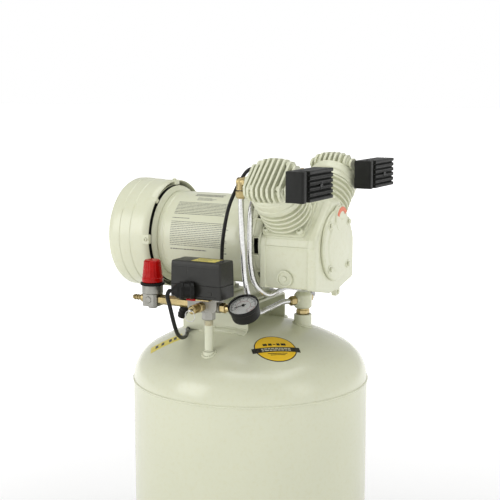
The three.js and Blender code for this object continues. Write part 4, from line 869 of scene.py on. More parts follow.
def make_cover():
    start = CASE_END + 0.3
    shape = Shape()
    face = COVER_FACE
    y, z = COVER_BOSS_Y, COVER_BOSS_Z
    shape.lathe(fillet([(start, 0), (start, COVER_RADIUS), (face - 2.6, COVER_RADIUS), (face - 0.8, 54),
                        (face - 0.8, 44), (face + 0.6, 40), (face + 1.5, 20), (face + 1.8, 0)],
                       2.2, 4, False), axis=(1, 0, 0), sides=128)
    shape.bar((start, y, z), (face + 1.6, y, z), 22, 72, 1.4)
    shape.bar((face + 1, y, z), (face + 2.2, y, z), 1.6, 16, 0.3)
    for i in range(4):
        angle = radians(45 + 90 * i)
        y, z = 49.5 * cos(angle), 49.5 * sin(angle)
        shape.bar((start, y, z), (face + 0.6, y, z), 7, 32, 0.8)
        shape.bolt((face + 0.6, y, z), (1, 0, 0), 4.2, 2.6, False)
    shape.piece("cover_plate", CAST, nodes=["crankcase_cover"])
    count = 32
    angles = [radians(33 + 125 * i / count) for i in range(count + 1)]
    section = ((face + 1, 13.2), (face + 2.2, 13.2), (face + 2.2, 20.3), (face + 1, 20.3))
    arc = Shape().loft([[(x, COVER_BOSS_Y + r * cos(a), COVER_BOSS_Z + r * sin(a)) for x, r in section]
                        for a in angles])
    arc.piece("level_mark", ORANGE)


def make_cylinder(side):
    start, end = DECK + 0.3, HEAD_START - 0.3
    barrel, fin, thick, count = 34.5, 41, 4, 5
    pitch = (end - start - 11 - thick) / (count - 1)
    profile = [(start, 30), (start, barrel)]
    for i in range(count - 1):
        low = start + 11 + i * pitch
        profile += [(low, barrel), (low, fin), (low + thick, fin), (low + thick, barrel)]
    profile += [(end - thick, barrel), (end - thick, fin), (end, fin), (end, 30)]
    shape = Shape().lathe(fillet(profile, 1.7, 4), sides=112, loop=True)
    x = BANKS[side][0]
    left = -min(38, x - CASE_START - 0.5)
    shape.prism(fillet(rect(left, 38, -38, 38), 9), start, start + 6, "z")
    shape.lathe(fillet([(start + 6, 30), (start + 6, 38), (start + 10, 35), (start + 10, 30)], 1, 3),
                sides=96, loop=True)
    shape.turned_by(bank_frame(side)).piece(
        f"cylinder_casting_{side}", CAST, nodes=[f"cylinder_{side}"], bevel=0.4, segments=2)
    bolts = Shape()
    for bx in (left + 7.5, 30.5):
        for by in (-30.5, 30.5):
            bolts.screw((bx, by, start + 6), (0, 0, 1), 5.4, 4.6)
    bolts.turned_by(bank_frame(side)).piece(f"cylinder_bolts_{side}", CAST)


def make_head(side):
    shape = Shape()
    base = HEAD_START
    root = base + 28
    shape.lathe(fillet([(base, 0), (base, 42), (base + 7, 42), (base + 8, 40.6), (base + 10, 40.6),
                        (base + 11, 42), (base + 20, 42), (base + 22, 40.8), (root - 3, 40.8), (root, 38),
                        (root, 0)], 1, 3, False), sides=128)
    count = 9
    for i in range(count):
        place = 2 * i / (count - 1) - 1
        x = place * (HEAD_RADIUS - 6.6)
        end = HEAD_RADIUS - 3 - 8 * place ** 4
        crown = HEAD_TOP - 7 * place ** 2
        half = [(end, root - 3), (end, crown - 10), (end - 8, crown)]
        shape.prism(fillet(half + [(-y, z) for y, z in reversed(half)], 7, 5), x - 2, x + 2)
    for bx in (-24.5, 24.5):
        for by in (-24.5, 24.5):
            shape.post(bx, by, root - 2, HEAD_TOP - 9.4, 7.6, 32, 1.6)
            shape.bolt((bx, by, HEAD_TOP - 9.4), (0, 0, 1), 5, 3.6, False)
    for sign, radius in ((-1, 10.2), (1, 13.2)):
        shape.bar((sign * 30, 0, PORT_LEVEL), (sign * 45, 0, PORT_LEVEL), radius, 40, 1)
    shape.turned_by(bank_frame(side)).piece(
        f"head_casting_{side}", CAST, nodes=[f"head_{side}"], bevel=1.1)


def make_filter(side):
    y0 = FILTER_Y[side] - FILTER_WIDTH / 2
    y1 = y0 + FILTER_WIDTH
    z0, z1 = FILTER_LEVEL - FILTER_HEIGHT / 2, FILTER_LEVEL + FILTER_HEIGHT / 2
    split = FILTER_BACK + 14
    base = Shape()
    base.prism(fillet([(FILTER_BACK, y0), (FILTER_FACE - 4.4, y0), (FILTER_FACE - 3.6, y0 + 0.9),
                       (FILTER_FACE - 2.8, y0), (FILTER_FACE - 1, y0), (FILTER_FACE - 1, y0 + 9.5),
                       (split, y0 + 10), (split, y1), (FILTER_BACK, y1)], 1.4), z0, z1, "z")
    base.prism(fillet(rect(split - 2, FILTER_FACE - 4.5, y0 + 18, y1 - 2), 1), z0 + 4, z1 - 4, "z")
    centre = port(side)
    head_x = BANKS[side][0]
    base.bar((head_x + 45.5, centre.y, centre.z), (FILTER_BACK + 2, centre.y, centre.z), 11.2, 40)
    lug = y0 + 30 if side == "front" else y0 + 40
    base.prism(fillet([(lug, z0 - 4), (lug + 12, z0 - 4), (lug + 14, z0 + 2), (lug - 2, z0 + 2)], 1.2),
               FILTER_BACK + 4, FILTER_BACK + 13)
    base.piece(f"filter_case_{side}", RIBBED, nodes=[f"filter_base_{side}"], bevel=1.2)
    gaps = 5
    pitch = FILTER_HEIGHT / (gaps + 0.6)
    outline = [(split + 0.4, z0), (FILTER_FACE, z0)]
    for i in range(gaps):
        middle = z0 + (i + 0.8) * pitch
        outline += [(FILTER_FACE, middle - 1.9), (FILTER_FACE - 4.2, middle), (FILTER_FACE, middle + 1.9)]
        if i < gaps - 1:
            ridge = middle + pitch / 2
            outline += [(FILTER_FACE, ridge - 0.7), (FILTER_FACE - 0.9, ridge), (FILTER_FACE, ridge + 0.7)]
    outline += [(FILTER_FACE, z1), (split + 0.4, z1)]
    cover = Shape().prism(fillet(outline, 0.7, 2), y0 + 19, y1, "y")
    screw_y = y0 + 60
    cover.lathe([(-3, 5), (0.3, 5.2), (0.3, 3.4), (-3, 3)], (FILTER_FACE, screw_y, FILTER_LEVEL - 1),
                (1, 0, 0), 24, loop=True)
    cover.piece(f"filter_lid_{side}", RIBBED, nodes=[f"filter_cover_{side}"], bevel=0.4,
                segments=2)
    screw = Shape().screw((FILTER_FACE - 1, screw_y, FILTER_LEVEL - 1), (1, 0, 0), 3.1, 1.6)
    screw.piece(f"filter_screw_{side}", DARK_STEEL, slot="black_plastic")


# ---------------------------------------------------------------- air lines

def make_elbow(side, outlet):
    centre = port(side)
    corner = Vector((ELBOW_X, centre.y, centre.z))
    outlet = Vector(outlet)
    start = Vector((BANKS[side][0] - 45.3, centre.y, centre.z))
    shape = Shape()
    shape.bar(start, corner - Vector((6, 0, 0)), 7.2, 32, 1)
    shape.bar(corner - outlet * 6, corner + outlet * 13, 7.4, 32, 1)
    shape.bar(corner + Vector((9, 0, 0)), corner + Vector((4, 0, 0)), 8.2, HEX)
    shape.bar(corner + outlet * 9, corner + outlet * 13, 7.8, 32)
    shape.bar(corner + outlet * 14, corner + outlet * 25, NUT_RADIUS, HEX, 1)
    shape.bar(corner + outlet * 24, corner + outlet * 26.5, 6.2, 32)
    if side == "rear":
        shape.bar(corner - Vector((5, 0, 0)), corner - Vector((9, 0, 0)), 4.8, HEX)
    shape.piece(f"brass_elbow_{side}", BRASS, nodes=[f"elbow_{side}"], bevel=0.4, segments=2)


def inlet_point(angle, distance):
    """A place out along one of the check valve's inlets."""
    return Vector((VALVE_X + distance * cos(angle), VALVE_Y + distance * sin(angle), VALVE_LEVEL))


INLETS = {"front": radians(-120), "rear": radians(90)}


def make_check_valve():
    top = dome(VALVE_X, VALVE_Y) + VALVE_BOSS
    base = Shape().post(VALVE_X, VALVE_Y, top - 6, -119, 9.7)
    base.post(VALVE_X, VALVE_Y, top + 0.3, -121.5, 11.5, HEX, 1)
    base.post(VALVE_X, VALVE_Y, -122, -119, 10.4)
    base.piece("valve_base_hex", BRASS, nodes=["check_valve_base"], bevel=0.4, segments=2)
    body = Shape()
    body.lathe(fillet([(-118.7, 0), (-118.7, 13), (-116, 15), (-96, 15), (-93, 12.5), (-92, 12), (-92, 0)],
                      1.2, 3, False), (VALVE_X, VALVE_Y, 0), sides=56)
    body.post(VALVE_X, VALVE_Y, -97, -90.5, 11.2, HEX, 1)
    for angle in INLETS.values():
        body.bar(inlet_point(angle, 8), inlet_point(angle, 15.4), 8.4, 40)
    body.piece("valve_body_casting", CAST, nodes=["check_valve_body"], bevel=0.5)
    for side, angle in INLETS.items():
        nut = Shape().bar(inlet_point(angle, 15.5), inlet_point(angle, 26.3), NUT_RADIUS, HEX, 1)
        nut.bar(inlet_point(angle, 26), inlet_point(angle, 28.5), 6.2)
        nut.piece(f"tube_nut_{side}", BRASS, nodes=[f"valve_nut_{side}"], bevel=0.4, segments=2)


def make_tubes():
    reach, e = 25.3, ELBOW_X
    y, z = port("front").y, port("front").z
    under = VALVE_LEVEL - 3
    front = [(e, y, z - reach), (e, y, z - reach - 20), (e + 2, y + 2, 0), (e + 6, y + 5, under + 48),
             (e + 10, y + 13, under + 18), (e + 13, y + 30, under), (e + 13, -45, under - 1),
             (e + 13, -12, under), inlet_point(INLETS["front"], 40.6), inlet_point(INLETS["front"], 26.6)]
    y, z = port("rear").y, port("rear").z
    near, under = -82.5, CASE_BOTTOM - TUBE_RADIUS
    rear = [(e, y - reach - 0.3, z), (e, y - reach - 12, z), (e, y - reach - 24, z - 2), (e + 2, 20, z - 7),
            (e + 4, -35, z - 14), (e + 6, -66, z - 24), (e + 6, near, z - 44), (e + 4, near - 1, 10),
            (e + 5, near, -30), (e + 11, near + 4, under + 22), (e + 20, near + 22, under + 3),
            (e + 21, -30, under), (e + 15, 0, under - 2), (e + 10, 40, under - 3),
            (e + 14, VALVE_Y + 42, VALVE_LEVEL + 9), (VALVE_X - 9, VALVE_Y + 56, VALVE_LEVEL + 2),
            inlet_point(INLETS["rear"], 38.6), inlet_point(INLETS["rear"], 26.6)]
    for side, route in (("front", front), ("rear", rear)):
        Shape().sweep(catmull(route), TUBE_RADIUS, 28).piece(
            f"tube_{side}", TUBING, nodes=[f"discharge_tube_{side}"])
    back = SWITCH[3] + 5
    nylon = [(10.5, back, SWITCH[4] + 9.3), (10.5, back, SWITCH[4] + 24), (10.5, back, SWITCH[5] - 4),
             (5, -104, 4), (3.5, -94, 31), (8.5, -89, 62), (15.5, -84, 84), (22, -76, 103), (27, -60, 119),
             (31, -32, 122), (31, 5, 115), (24, 50, z + 4), (14, y - 26, z), (11, y - 10, z), (16, y, z),
             (24, y, z), (e - 6.8, y, z)]
    Shape().sweep(catmull(nylon), NYLON_RADIUS, 20).piece(
        "nylon_line", LEAD, nodes=["unloader_tube"])


# ---------------------------------------------------------------- controls

def make_riser():
    low, high = dome(0, LINE_Y) + RISER_BOSS + 0.3, -112.3
    shape = Shape().post(0, LINE_Y, low, high, 6.85, 48)
    shape.lathe(fillet([(low, 6.5), (low, 8), (low + 1.5, 8), (low + 3, 6.5)], 0.6, 2),
                (0, LINE_Y, 0), loop=True)
    shape.piece("riser", GLOSS, nodes=["riser_pipe"])
    thread = Shape()
    for i in range(6):
        z = high - 1.2 - i * 1.4
        thread.lathe([(z - 0.5, 6.6), (z, 7.3), (z + 0.5, 6.6)], (0, LINE_Y, 0), loop=True)
    thread.piece("riser_thread", BRASS)


def make_manifold():
    shape = Shape()
    x0, x1, half, low, top = -32, 21, 12, -98, SWITCH[4] - 0.3
    outline = fillet([(x0, low + 5), (x0 + 4, low), (x1 - 4, low), (x1, low + 5), (x1, top), (x0, top)], 3)
    shape.prism(outline, LINE_Y - half, LINE_Y + half, "y")
    shape.block(x0 - 6, x1 + 6, LINE_Y - half - 3, LINE_Y + half + 3, top - 4, top)
    shape.post(0, LINE_Y, -112, low + 4, 11, HEX, 1)
    shape.along_line(x0 - 1, x0 + 6, 9.8, 32)
    shape.along_line(x1 - 6, x1 + 1, 8.6, 32, level=LINE_Z - 3)
    shape.bar((SAFETY_X, LINE_Y - half + 4, LINE_Z - 2), (SAFETY_X, LINE_Y - half - 0.2, LINE_Z - 2), 9.6, 32)
    shape.piece("manifold_casting", ZINC, nodes=["manifold"], bevel=0.9)


def make_switch():
    x0, x1, y0, y1, z0, z1 = SWITCH
    base = Shape()
    base.prism(fillet(rect(x0, x1, y0, y1), 3), z0, SWITCH_SPLIT - 0.3, "z")
    base.block(6, 15, y1 - 1, y1 + 9, z0, z0 + 9)
    base.block(x0 + 10, x1 - 8, y0 - 0.8, y0 + 2, z0 + 3, z0 + 4.2)
    base.block(x1 - 22, x1 - 16, y0 - 0.8, y0 + 2, z0 + 6, z0 + 12)
    base.piece("switch_body", GREY, nodes=["switch_base"], slot="black_plastic", bevel=0.5)
    cover = Shape()
    cx, cy = (x0 + x1) / 2, (y0 + y1) / 2
    rings = []
    for z, sx, sy in ((SWITCH_SPLIT, 1, 1), (z1 - 6, 0.985, 0.97), (z1 - 1.8, 0.978, 0.95),
                      (z1 - 0.5, 0.966, 0.925), (z1, 0.945, 0.88)):
        hx, hy = (x1 - x0) / 2 * sx, (y1 - y0) / 2 * sy
        outline = fillet(rect(-hx, hx, -hy, hy), 3, 5)
        rings.append([(cx + a, cy + b, z) for a, b in outline])
    cover.loft(rings)
    for left, right in ((x0 + 3, x0 + 30), (x0 + 32, x1 - 3)):
        cover.block(left, right, y0 + 0.2, y0 + 3, SWITCH_SPLIT + 1, z1 - 9)
    cover.piece("switch_hood", GREY, nodes=["switch_cover"], bevel=0.6, sharp=45)
    label = Shape().prism(fillet(rect(x0 + 34, x0 + 76, y0 + 8, y1 - 9), 1), z1 - 0.2, z1 + 0.25, "z")
    label.piece("switch_label", YELLOW, slot="grey_plastic")
    marks = Shape()
    for row in range(3):
        marks.block(x0 + 38, x0 + 60 + row * 4, y0 + 14 + row * 7, y0 + 16 + row * 7, z1, z1 + 0.4)
    marks.piece("switch_label_lines", INK, slot="grey_plastic")
    screw = Shape().screw((x1 - 10, cy, z1), (0, 0, 1), 3.6, 1.6)
    screw.piece("hood_screw", DARK_STEEL)
    pivot = 15
    lever = Shape()
    y_in, y_out, top = LINE_Y - 13.5, y0 - 2, z0 - 1
    lever.block(-12, pivot, y_out + 1, y_in, top - 2, top)
    lever.piece("lever_arm", BRASS, "switch_lever", ["switch_lever"], "black_plastic", bevel=0.5)
    tip = Shape().block(-25, -9, y_out - 0.4, y_in + 0.2, top - 3, top + 0.4)
    tip.piece("lever_tip", RED, "switch_lever", bevel=1)


def gland_point(distance):
    """A place out along the motor lead's gland."""
    return Vector((-14 - 0.8 * distance, SWITCH[2] - 1 - 0.6 * distance, -62))


def make_glands():
    shape = Shape()
    aim = Vector((-0.8, -0.6, 0))
    shape.lathe(fillet([(-2, 0), (-2, 14), (3, 14), (5, 12.6), (14, 12.6), (15, 14), (19, 14), (21, 12),
                        (25, 11), (32, 5.6), (32, 0)], 0.9, 3, False), gland_point(0), aim, 56)
    side, other = basis(aim)
    for angle in turns(18):
        spoke = (side * cos(angle) + other * sin(angle)) * 13.4
        shape.bar(gland_point(14.5) + spoke, gland_point(19.5) + spoke, 1.1, 8)
    shape.piece("lead_gland", BLACK, nodes=["motor_gland"], bevel=0.3)
    mains = Shape()
    x, y = SWITCH[0] + 8, SWITCH[3] - 1
    mains.bar((x, y, SWITCH[4] + 2), (x - 5, y, -92), 9, 40)
    mains.bar((x - 3, y, -84), (x - 4, y, -90), 10.4, HEX, 1)
    mains.bar((x - 4, y, -92), (x - 17, y + 2, -118), 8, 40, end_radius=6)
    for i in range(4):
        t = 0.2 + i * 0.2
        spot = Vector((x - 4, y, -92)).lerp(Vector((x - 17, y + 2, -118)), t)
        mains.lathe([(-1.2, 5), (-1.2, 8.4 - i * 0.4), (1.2, 8.4 - i * 0.4), (1.2, 5)], spot,
                    (-13, 2, -26), 32, loop=True)
    mains.piece("supply_gland", BLACK, nodes=["mains_gland"], bevel=0.3)
    low = dome(SADDLE_START + 8, SADDLE_HALF) + 4.7
    entry = Vector((-78, -25, 0))
    route = [gland_point(32.6), gland_point(36), gland_point(39) - Vector((0, 0, 7)), (-42, -188, -86),
             (-40, -184, -104), (-42, -173, -123), (-47, -157, -138), (-53, -136, -148), (-59, -114, -151),
             (-68, -94, -149), (-79, -76, low + 0.4), (-84, -58, low + 2), (-83, -42, low + 13),
             (entry.x, entry.y - 4, SADDLE_TOP - 14), (entry.x, entry.y, SADDLE_TOP),
             (entry.x, entry.y, -MOTOR_RADIUS + 10)]
    Shape().sweep(catmull(route), LEAD_RADIUS, 24).piece(
        "lead_loop", LEAD, nodes=["motor_lead"])


def make_regulator():
    half = 13.5
    low, high, bonnet = LINE_Z - 11, LINE_Z + 9, -60.6
    spot = (REGULATOR_X, LINE_Y, 0)
    body = Shape()
    cut = 4
    section = fillet([(-half + cut, -half), (half - cut, -half), (half, -half + cut), (half, half - cut),
                      (half - cut, half), (-half + cut, half), (-half, half - cut), (-half, -half + cut)], 1)
    body.prism([(REGULATOR_X + x, LINE_Y + y) for x, y in section], low, high, "z")
    body.lathe(fillet([(high - 1, 0), (high - 1, 13), (high + 1, 17.2), (bonnet - 4, 17.2), (bonnet - 4, 0)],
                      1, 3, False), spot, sides=64)
    body.post(REGULATOR_X, LINE_Y, low - 4, low + 1, 7, 32)
    for sign in (-1, 1):
        body.along_line(REGULATOR_X + sign * 9, REGULATOR_X + sign * 13.7, 10, HEX, 1)
    body.bar((REGULATOR_X, LINE_Y - 9, LINE_Z), (REGULATOR_X, LINE_Y - 14.6, LINE_Z), 6.2, HEX, 1)
    body.piece("regulator_casting", ZINC, nodes=["regulator_body"], bevel=0.8)
    ring = Shape()
    ring.lathe(fillet([(bonnet - 4.6, 12), (bonnet - 4.6, 18.6), (bonnet, 19.4), (bonnet, 4.4)], 0.6, 2),
               spot, sides=72, loop=True)
    for angle in turns(36):
        ring.post(REGULATOR_X + 19 * cos(angle), LINE_Y + 19 * sin(angle), bonnet - 4, bonnet - 0.6,
                  0.7, 8, 0.2)
    ring.piece("bonnet_ring", BLACK)
    knob = Shape()
    sides = 144
    profile = fillet([
        (KNOB_BOTTOM, 4.6), (KNOB_BOTTOM, 17.2), (KNOB_BOTTOM + 7, 17.2), (KNOB_BOTTOM + 8, 16.4),
        (KNOB_TOP - 2.5, 13.7), (KNOB_TOP, 11.6), (KNOB_TOP - 0.4, 0)], 1.1, 4, False)
    knob.lathe(profile, spot, sides=sides)
    axis = Vector((REGULATOR_X, LINE_Y, 0))
    for vert in knob.bm.verts:
        rel = vert.co - axis
        if rel.z < KNOB_BOTTOM + 7.8 or rel.z > KNOB_TOP - 2:
            continue
        angle = atan2(rel.y, rel.x)
        flute = 0.3 * (0.5 + 0.5 * cos(angle * 18)) ** 2
        out = Vector((rel.x, rel.y, 0))
        if out.length > 8:
            vert.co -= out.normalized() * flute
    knob.piece("red_knob", RED, "regulator_knob", ["regulator_knob"], sharp=50)


def make_line_fittings():
    start, end = REGULATOR_X + 13.8, -32.3
    nipple = Shape().along_line(start, end, 8.4, HEX, 0.8)
    nipple.piece("brass_nipple", BRASS, nodes=["hex_nipple"], bevel=0.3)
    barb = Shape()
    profile = [(0, 0), (0, 6.6), (0.6, 7), (5.4, 7), (6, 6.4), (6, 3.6)]
    for i in range(3):
        profile += [(8.5 + i * 5, 3.6), (8.7 + i * 5, 4.9), (13 + i * 5, 3.5)]
    profile += [(23, 2.8), (23, 0)]
    barb.lathe(profile, (REGULATOR_X - 13.8, LINE_Y, LINE_Z), (-1, 0, 0), 32)
    barb.piece("brass_barb", BRASS, nodes=["hose_barb"])


def make_gauge():
    tilt = radians(GAUGE_TILT)
    normal = Vector((0, -sin(tilt), cos(tilt)))
    centre = Vector((GAUGE_X, LINE_Y, LINE_Z - 3))
    case = Shape()
    case.lathe(fillet([(-12.5, 0), (-12.5, 20), (-10.5, 22.4), (5, 23.6), (6, 24.6), (12.2, 24.6), (12.5, 24),
                       (12.5, 22.9), (8.6, 22.4), (8.5, 0)], 0.8, 3, False), centre, normal, 96)
    case.piece("gauge_shell", BLACK, nodes=["gauge_case"], slot="steel")
    stem = Shape().along_line(21.3, GAUGE_X - 20, 5.5, level=LINE_Z - 3)
    stem.along_line(23, 32, 8.4, HEX, 0.8, level=LINE_Z - 3)
    stem.piece("gauge_stem", BRASS, bevel=0.3)
    face = Shape().lathe([(8.2, 0), (8.2, 22.3), (8.75, 22.3), (8.75, 0)], centre, normal, 72)
    face.piece("gauge_dial", DIAL, slot="steel")
    across = Vector((1, 0, 0))
    up = normal.cross(across)
    ticks = Shape()
    red = Shape()
    count = 60
    for i in range(count + 1):
        angle = radians(DIAL_START - DIAL_SWEEP * i / count)
        spoke = across * cos(angle) + up * sin(angle)
        side = normal.cross(spoke)
        inner, width = (18, 0.18) if i % 5 else (16.4, 0.34)
        target = red if i > 48 else ticks
        target.slab(centre + normal * 8.85, spoke, side, inner, 20, width, 0.12)
    for radius, target in ((20.3, ticks), (11.5, red)):
        path = [centre + normal * 8.85 + (across * cos(a) + up * sin(a)) * radius
                for a in (radians(DIAL_START - DIAL_SWEEP * i / count) for i in range(count + 1))]
        target.sweep(path, 0.18, 8)
    ticks.piece("dial_scale", LABEL_BLACK, slot="steel")
    red.piece("dial_inner_scale", RED, slot="steel")
    for i in range(7):
        angle = radians(DIAL_START - DIAL_SWEEP * i / 6)
        curve = bpy.data.curves.new(f"dial_number_{i}", "FONT")
        curve.body = str(i * 2)
        curve.size = 3.6 * MM
        curve.extrude = 0.05 * MM
        curve.align_x = "CENTER"
        curve.align_y = "CENTER"
        curve.materials.append(LABEL_BLACK)
        obj = add_object(f"dial_number_{i}", curve)
        spot = centre + normal * 8.9 + (across * cos(angle) + up * sin(angle)) * 14.2
        turn = Matrix((across, up, normal)).transposed().to_4x4()
        obj.matrix_world = Matrix.Translation(MOTOR + spot * MM) @ turn
        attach(obj, ROOT)
    pointer = Shape()
    aim = (across * -0.8 - up * 0.6).normalized()
    side = normal.cross(aim)
    pointer.bar(centre + normal * 9.2, centre + normal * 11.2, 2.5, 32, 0.4)
    pointer.slab(centre + normal * 10.2, aim, side, -4.5, 15, 0.6, 0.5)
    pointer.piece("needle", LABEL_BLACK, "gauge_pointer", ["gauge_pointer"], "black_plastic", bevel=0.15)
    lens = Look("gauge_window", 0.03)
    lens.shader.inputs["Transmission Weight"].default_value = 1.0
    lens.shader.inputs["IOR"].default_value = 1.2
    lens.bump((lens.noise(60, 2), 0.02, 0.0005))
    window = Shape().lathe([(11.6, 0), (11.6, 22.8), (12.1, 22.8), (12.35, 10), (12.4, 0)],
                           centre, normal, 72)
    window.piece("gauge_lens", lens.material, slot="steel")


def make_safety_valve():
    level = LINE_Z - 2
    back = LINE_Y - 12.3
    shape = Shape()
    spot = (SAFETY_X, back, level)
    shape.lathe(fillet([(0, 0), (0, 7.4), (9, 7.4), (10, 5.6), (13, 5.6), (14, 6.6), (29, 6.6), (31, 4.6),
                        (31, 2.6), (19, 2.6), (19, 0)], 0.5, 3, False), spot, (0, -1, 0), 48)
    shape.bar((SAFETY_X, back - 1, level), (SAFETY_X, back - 8.6, level), 8.1, HEX, 0.8)
    for i in range(4):
        shape.lathe(rect(16 + i * 3.6, 17.4 + i * 3.6, 6, 7.1), spot, (0, -1, 0), 40, loop=True)
    shape.piece("relief_valve", BRASS, nodes=["safety_valve"])
    pull = Shape()
    nose = back - 31
    pull.bar((SAFETY_X, nose + 9, level), (SAFETY_X, nose - 5, level), 2.2)
    ring = 8.7
    path = [Vector((SAFETY_X + ring * sin(a), nose - 3.5 + 0.5 * sin(a * 3), level - ring + ring * cos(a)))
            for a in (radians(2 + 366 * i / 72) for i in range(73))]
    pull.sweep(path, 0.65, 12)
    pull.piece("pull_ring", STEEL, "safety_pull", ["safety_pull"])


# ---------------------------------------------------------------- labels on the dome

def dome_patch(shape, centre, across, up, outline_rows, lift):
    """A thin sheet laid on the dome: rows of (a, b) places in the label's own plane."""
    rows = []
    for row in outline_rows:
        ring = []
        for a, b in row:
            spot = centre + across * a + up * b
            normal = dome_normal(spot.x, spot.y)
            ground = Vector((spot.x, spot.y, dome(spot.x, spot.y)))
            ring.append((ground + normal * lift, ground - normal * 0.4))
        rows.append(ring)
    top = [[shape.bm.verts.new(p[0]) for p in row] for row in rows]
    low = [[shape.bm.verts.new(p[1]) for p in row] for row in rows]
    for upper_a, upper_b, lower_a, lower_b in zip(top, top[1:], low, low[1:]):
        for i in range(len(upper_a) - 1):
            shape.bm.faces.new((upper_a[i], upper_a[i + 1], upper_b[i + 1], upper_b[i]))
            shape.bm.faces.new((lower_b[i], lower_b[i + 1], lower_a[i + 1], lower_a[i]))
    edge, base = [
        sheet[0] + [row[-1] for row in sheet[1:]] + sheet[-1][-2::-1] + [row[0] for row in sheet[-2:0:-1]]
        for sheet in (top, low)]
    for i in range(len(edge)):
        j = (i + 1) % len(edge)
        shape.bm.faces.new((edge[i], base[i], base[j], edge[j]))


def disc_rows(radius, count=24):
    """A label's round outline as rows of places."""
    rows = []
    for i in range(count + 1):
        b = -radius * cos(pi * (i + 0.02) / (count + 0.04))
        half = sqrt(max(radius ** 2 - b ** 2, 0.01))
        rows.append([(-half + 2 * half * k / count, b) for k in range(count + 1)])
    return rows


def strip_rows(a0, a1, b0, b1, count=10):
    """A label's straight strip as rows of places."""
    return [[(a0 + (a1 - a0) * k / count, b0 + (b1 - b0) * i / 4) for k in range(count + 1)]
            for i in range(5)]


def make_labels():
    """A round sticker and a short strip, with plain bars in place of any words."""
    spot = Vector((STICKER_X, STICKER_Y, dome(STICKER_X, STICKER_Y)))
    normal = dome_normal(spot.x, spot.y)
    across = Vector((0.74, 0.66, 0))
    across = (across - normal * across.dot(normal)).normalized()
    up = normal.cross(across)
    for name, radius, lift, material in (
            ("sticker_edge", STICKER_RADIUS, 0.25, LABEL_BLACK),
            ("sticker_ring", STICKER_RADIUS - 1.7, 0.33, AMBER)):
        shape = Shape()
        dome_patch(shape, spot, across, up, disc_rows(radius), lift)
        shape.piece(name, material)
    band = Shape()
    dome_patch(band, spot, across, up, strip_rows(-39.5, 39.5, -10.5, 1.5), 0.45)
    band.piece("sticker_band", LABEL_BLACK)
    words = random.Random(3)
    pale, dark = Shape(), Shape()
    for b in (-3.2, -7.6):
        a = -24
        while a < 22:
            width = words.uniform(2.5, 7)
            dome_patch(pale, spot, across, up, strip_rows(a, min(a + width, 24), b, b + 2.2, 2), 0.55)
            a += width + 1.2
    for a0, a1, b0, b1 in ((-19, -12, 6, 12), (-10, -4, 6, 12), (-2, 2, 8, 10), (4, 9, 6, 12),
                           (11, 19, 6, 12), (-16, 16, -15.5, -14), (-12, 12, -19, -17.6)):
        dome_patch(dark, spot, across, up, strip_rows(a0, a1, b0, b1, 4), 0.42)
    pale.piece("sticker_lines", LABEL_PALE)
    dark.piece("sticker_marks", LABEL_BLACK)

    low, high = Vector((-125.6, -113.3, 0)), Vector((-84.2, -88.1, 0))
    middle = (low + high) / 2
    middle.z = dome(middle.x, middle.y)
    normal = dome_normal(middle.x, middle.y)
    across = (high - low).normalized()
    across = (across - normal * across.dot(normal)).normalized()
    up = normal.cross(across)
    strip = Shape()
    dome_patch(strip, middle, across, up, strip_rows(-29, 29, -13, 13), 0.3)
    strip.piece("yellow_strip", YELLOW)
    marks = Shape()
    for a in (-20, -9, 5, 14):
        dome_patch(marks, middle, across, up, strip_rows(a, a + 5, -6, 6, 2), 0.42)
    marks.piece("strip_marks", LABEL_BLACK)


# ---------------------------------------------------------------- carried-over nodes

def dress_cad_nodes():
    """Inner CAD parts that stay as they are get their finishes."""
    finishes = {"stator": LAMINATED, "rotor_core": LAMINATED, "bearing_rear": STEEL, "bearing_front": STEEL,
                "crankshaft": STEEL, "piston_front": TUBING, "piston_rear": TUBING}
    for node, material in finishes.items():
        obj = frame["nodes"][node]
        obj.data.materials.clear()
        obj.data.materials.append(material)


# ---------------------------------------------------------------- stage

ZENITH, HORIZON = 0.40, 0.80  # sky brightness overhead and at the floor's edge
FLOOR_FADE = 2.6  # metres from the object to where the floor is as pale as the sky


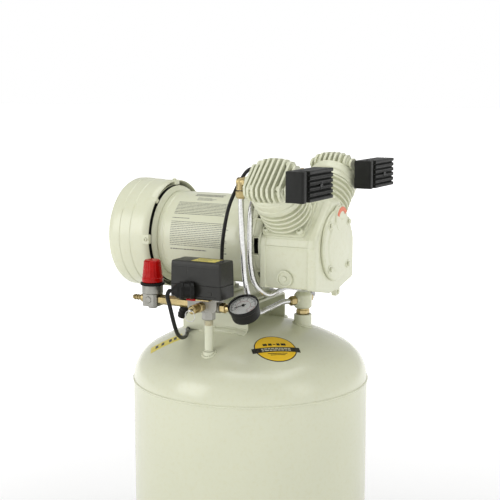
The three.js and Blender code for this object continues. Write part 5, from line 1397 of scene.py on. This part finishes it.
def make_stage():
    """A pale floor that fades into an evenly pale sky."""
    floor = Look("studio_floor", 0.6)
    floor.colour(floor.ramp(floor.noise(2, 2), [(0.3, (0.86, 0.86, 0.86)), (0.7, (0.89, 0.89, 0.89))]))
    gradient = floor.tree.nodes.new("ShaderNodeTexGradient")
    gradient.gradient_type = "SPHERICAL"
    spread = floor.tree.nodes.new("ShaderNodeMapping")
    spread.inputs["Scale"].default_value = (1 / FLOOR_FADE, 1 / FLOOR_FADE, 1 / FLOOR_FADE)
    floor.tree.links.new(floor.place, spread.inputs["Vector"])
    floor.tree.links.new(spread.outputs["Vector"], gradient.inputs["Vector"])
    glow = floor.ramp(gradient.outputs["Fac"], [(0.0, (0.93, 0.93, 0.93)), (0.9, (0.10, 0.10, 0.10))])
    floor.tree.links.new(glow, floor.shader.inputs["Emission Color"])
    floor.shader.inputs["Emission Strength"].default_value = 1.0
    mesh = bpy.data.meshes.new("studio_floor")
    size = 40
    mesh.from_pydata([(x, y, 0) for x, y in rect(-size, size, -size, size)], [], [(0, 1, 2, 3)])
    mesh.materials.append(floor.material)
    add_object("studio_floor", mesh)
    world = bpy.data.worlds.new("studio")
    world.use_nodes = True
    tree = world.node_tree
    tree.nodes["Background"].inputs["Color"].default_value = (1, 1, 1, 1)
    split = tree.nodes.new("ShaderNodeSeparateXYZ")
    tree.links.new(tree.nodes.new("ShaderNodeTexCoord").outputs["Generated"], split.inputs["Vector"])
    fade = tree.nodes.new("ShaderNodeMapRange")
    fade.inputs["From Max"].default_value = 0.6
    fade.inputs["To Min"].default_value = HORIZON
    fade.inputs["To Max"].default_value = ZENITH
    tree.links.new(split.outputs["Z"], fade.inputs["Value"])
    seen = tree.nodes.new("ShaderNodeLightPath").outputs["Is Camera Ray"]
    level = tree.nodes.new("ShaderNodeMapRange")
    level.inputs["To Max"].default_value = 1.0
    tree.links.new(fade.outputs["Result"], level.inputs["To Min"])
    tree.links.new(seen, level.inputs["Value"])
    tree.links.new(level.outputs["Result"], tree.nodes["Background"].inputs["Strength"])
    bpy.context.scene.world = world


def area_light(name, place, target, width, height, power):
    lamp = bpy.data.lights.new(name, "AREA")
    lamp.shape = "RECTANGLE"
    lamp.size, lamp.size_y = width, height
    lamp.energy = power
    obj = add_object(name, lamp)
    obj.location = place
    obj.rotation_euler = (Vector(target) - Vector(place)).to_track_quat("-Z", "Y").to_euler()


def make_lights():
    middle = (0.0, 0.0, 0.65)
    area_light("key_light", (-1.35, -2.3, 1.45), middle, 1.4, 1.6, 22)
    area_light("top_light", (0.2, 0.1, 2.6), middle, 1.8, 1.8, 24)
    area_light("side_light", (2.4, -0.5, 1.5), middle, 1.0, 1.6, 8)


def make_camera():
    data = bpy.data.cameras.new("camera")
    data.sensor_width = 36
    data.lens = CAMERA_LENS
    obj = add_object("camera", data)
    azimuth, pitch = radians(CAMERA_AZIMUTH), radians(CAMERA_PITCH)
    back = Vector((sin(azimuth) * cos(pitch), -cos(azimuth) * cos(pitch), sin(pitch)))
    right = Vector((cos(azimuth), sin(azimuth), 0))
    up = back.cross(right)
    target = right * CAMERA_RIGHT + Vector((0, 0, CAMERA_UP))
    place = MOTOR + (target + back * CAMERA_DISTANCE) * MM
    obj.matrix_world = Matrix.Translation(place) @ Matrix((right, up, back)).transposed().to_4x4()
    data.clip_end = 200
    bpy.context.scene.camera = obj


random.seed(11)
bpy.context.scene.view_settings.view_transform = "Standard"
make_camera()
make_stage()
make_lights()
make_tank()
make_plate()
for leg in range(3):
    make_leg(leg)
make_drain()
make_saddle()
make_motor()
make_print()
make_cowl()
make_bells()
make_fan()
make_case()
make_cover()
for bank in BANKS:
    make_cylinder(bank)
    make_head(bank)
    make_filter(bank)
make_elbow("front", (0, 0, -1))
make_elbow("rear", (0, -1, 0))
make_check_valve()
make_tubes()
make_riser()
make_manifold()
make_switch()
make_glands()
make_regulator()
make_line_fittings()
make_gauge()
make_safety_valve()
make_labels()
dress_cad_nodes()
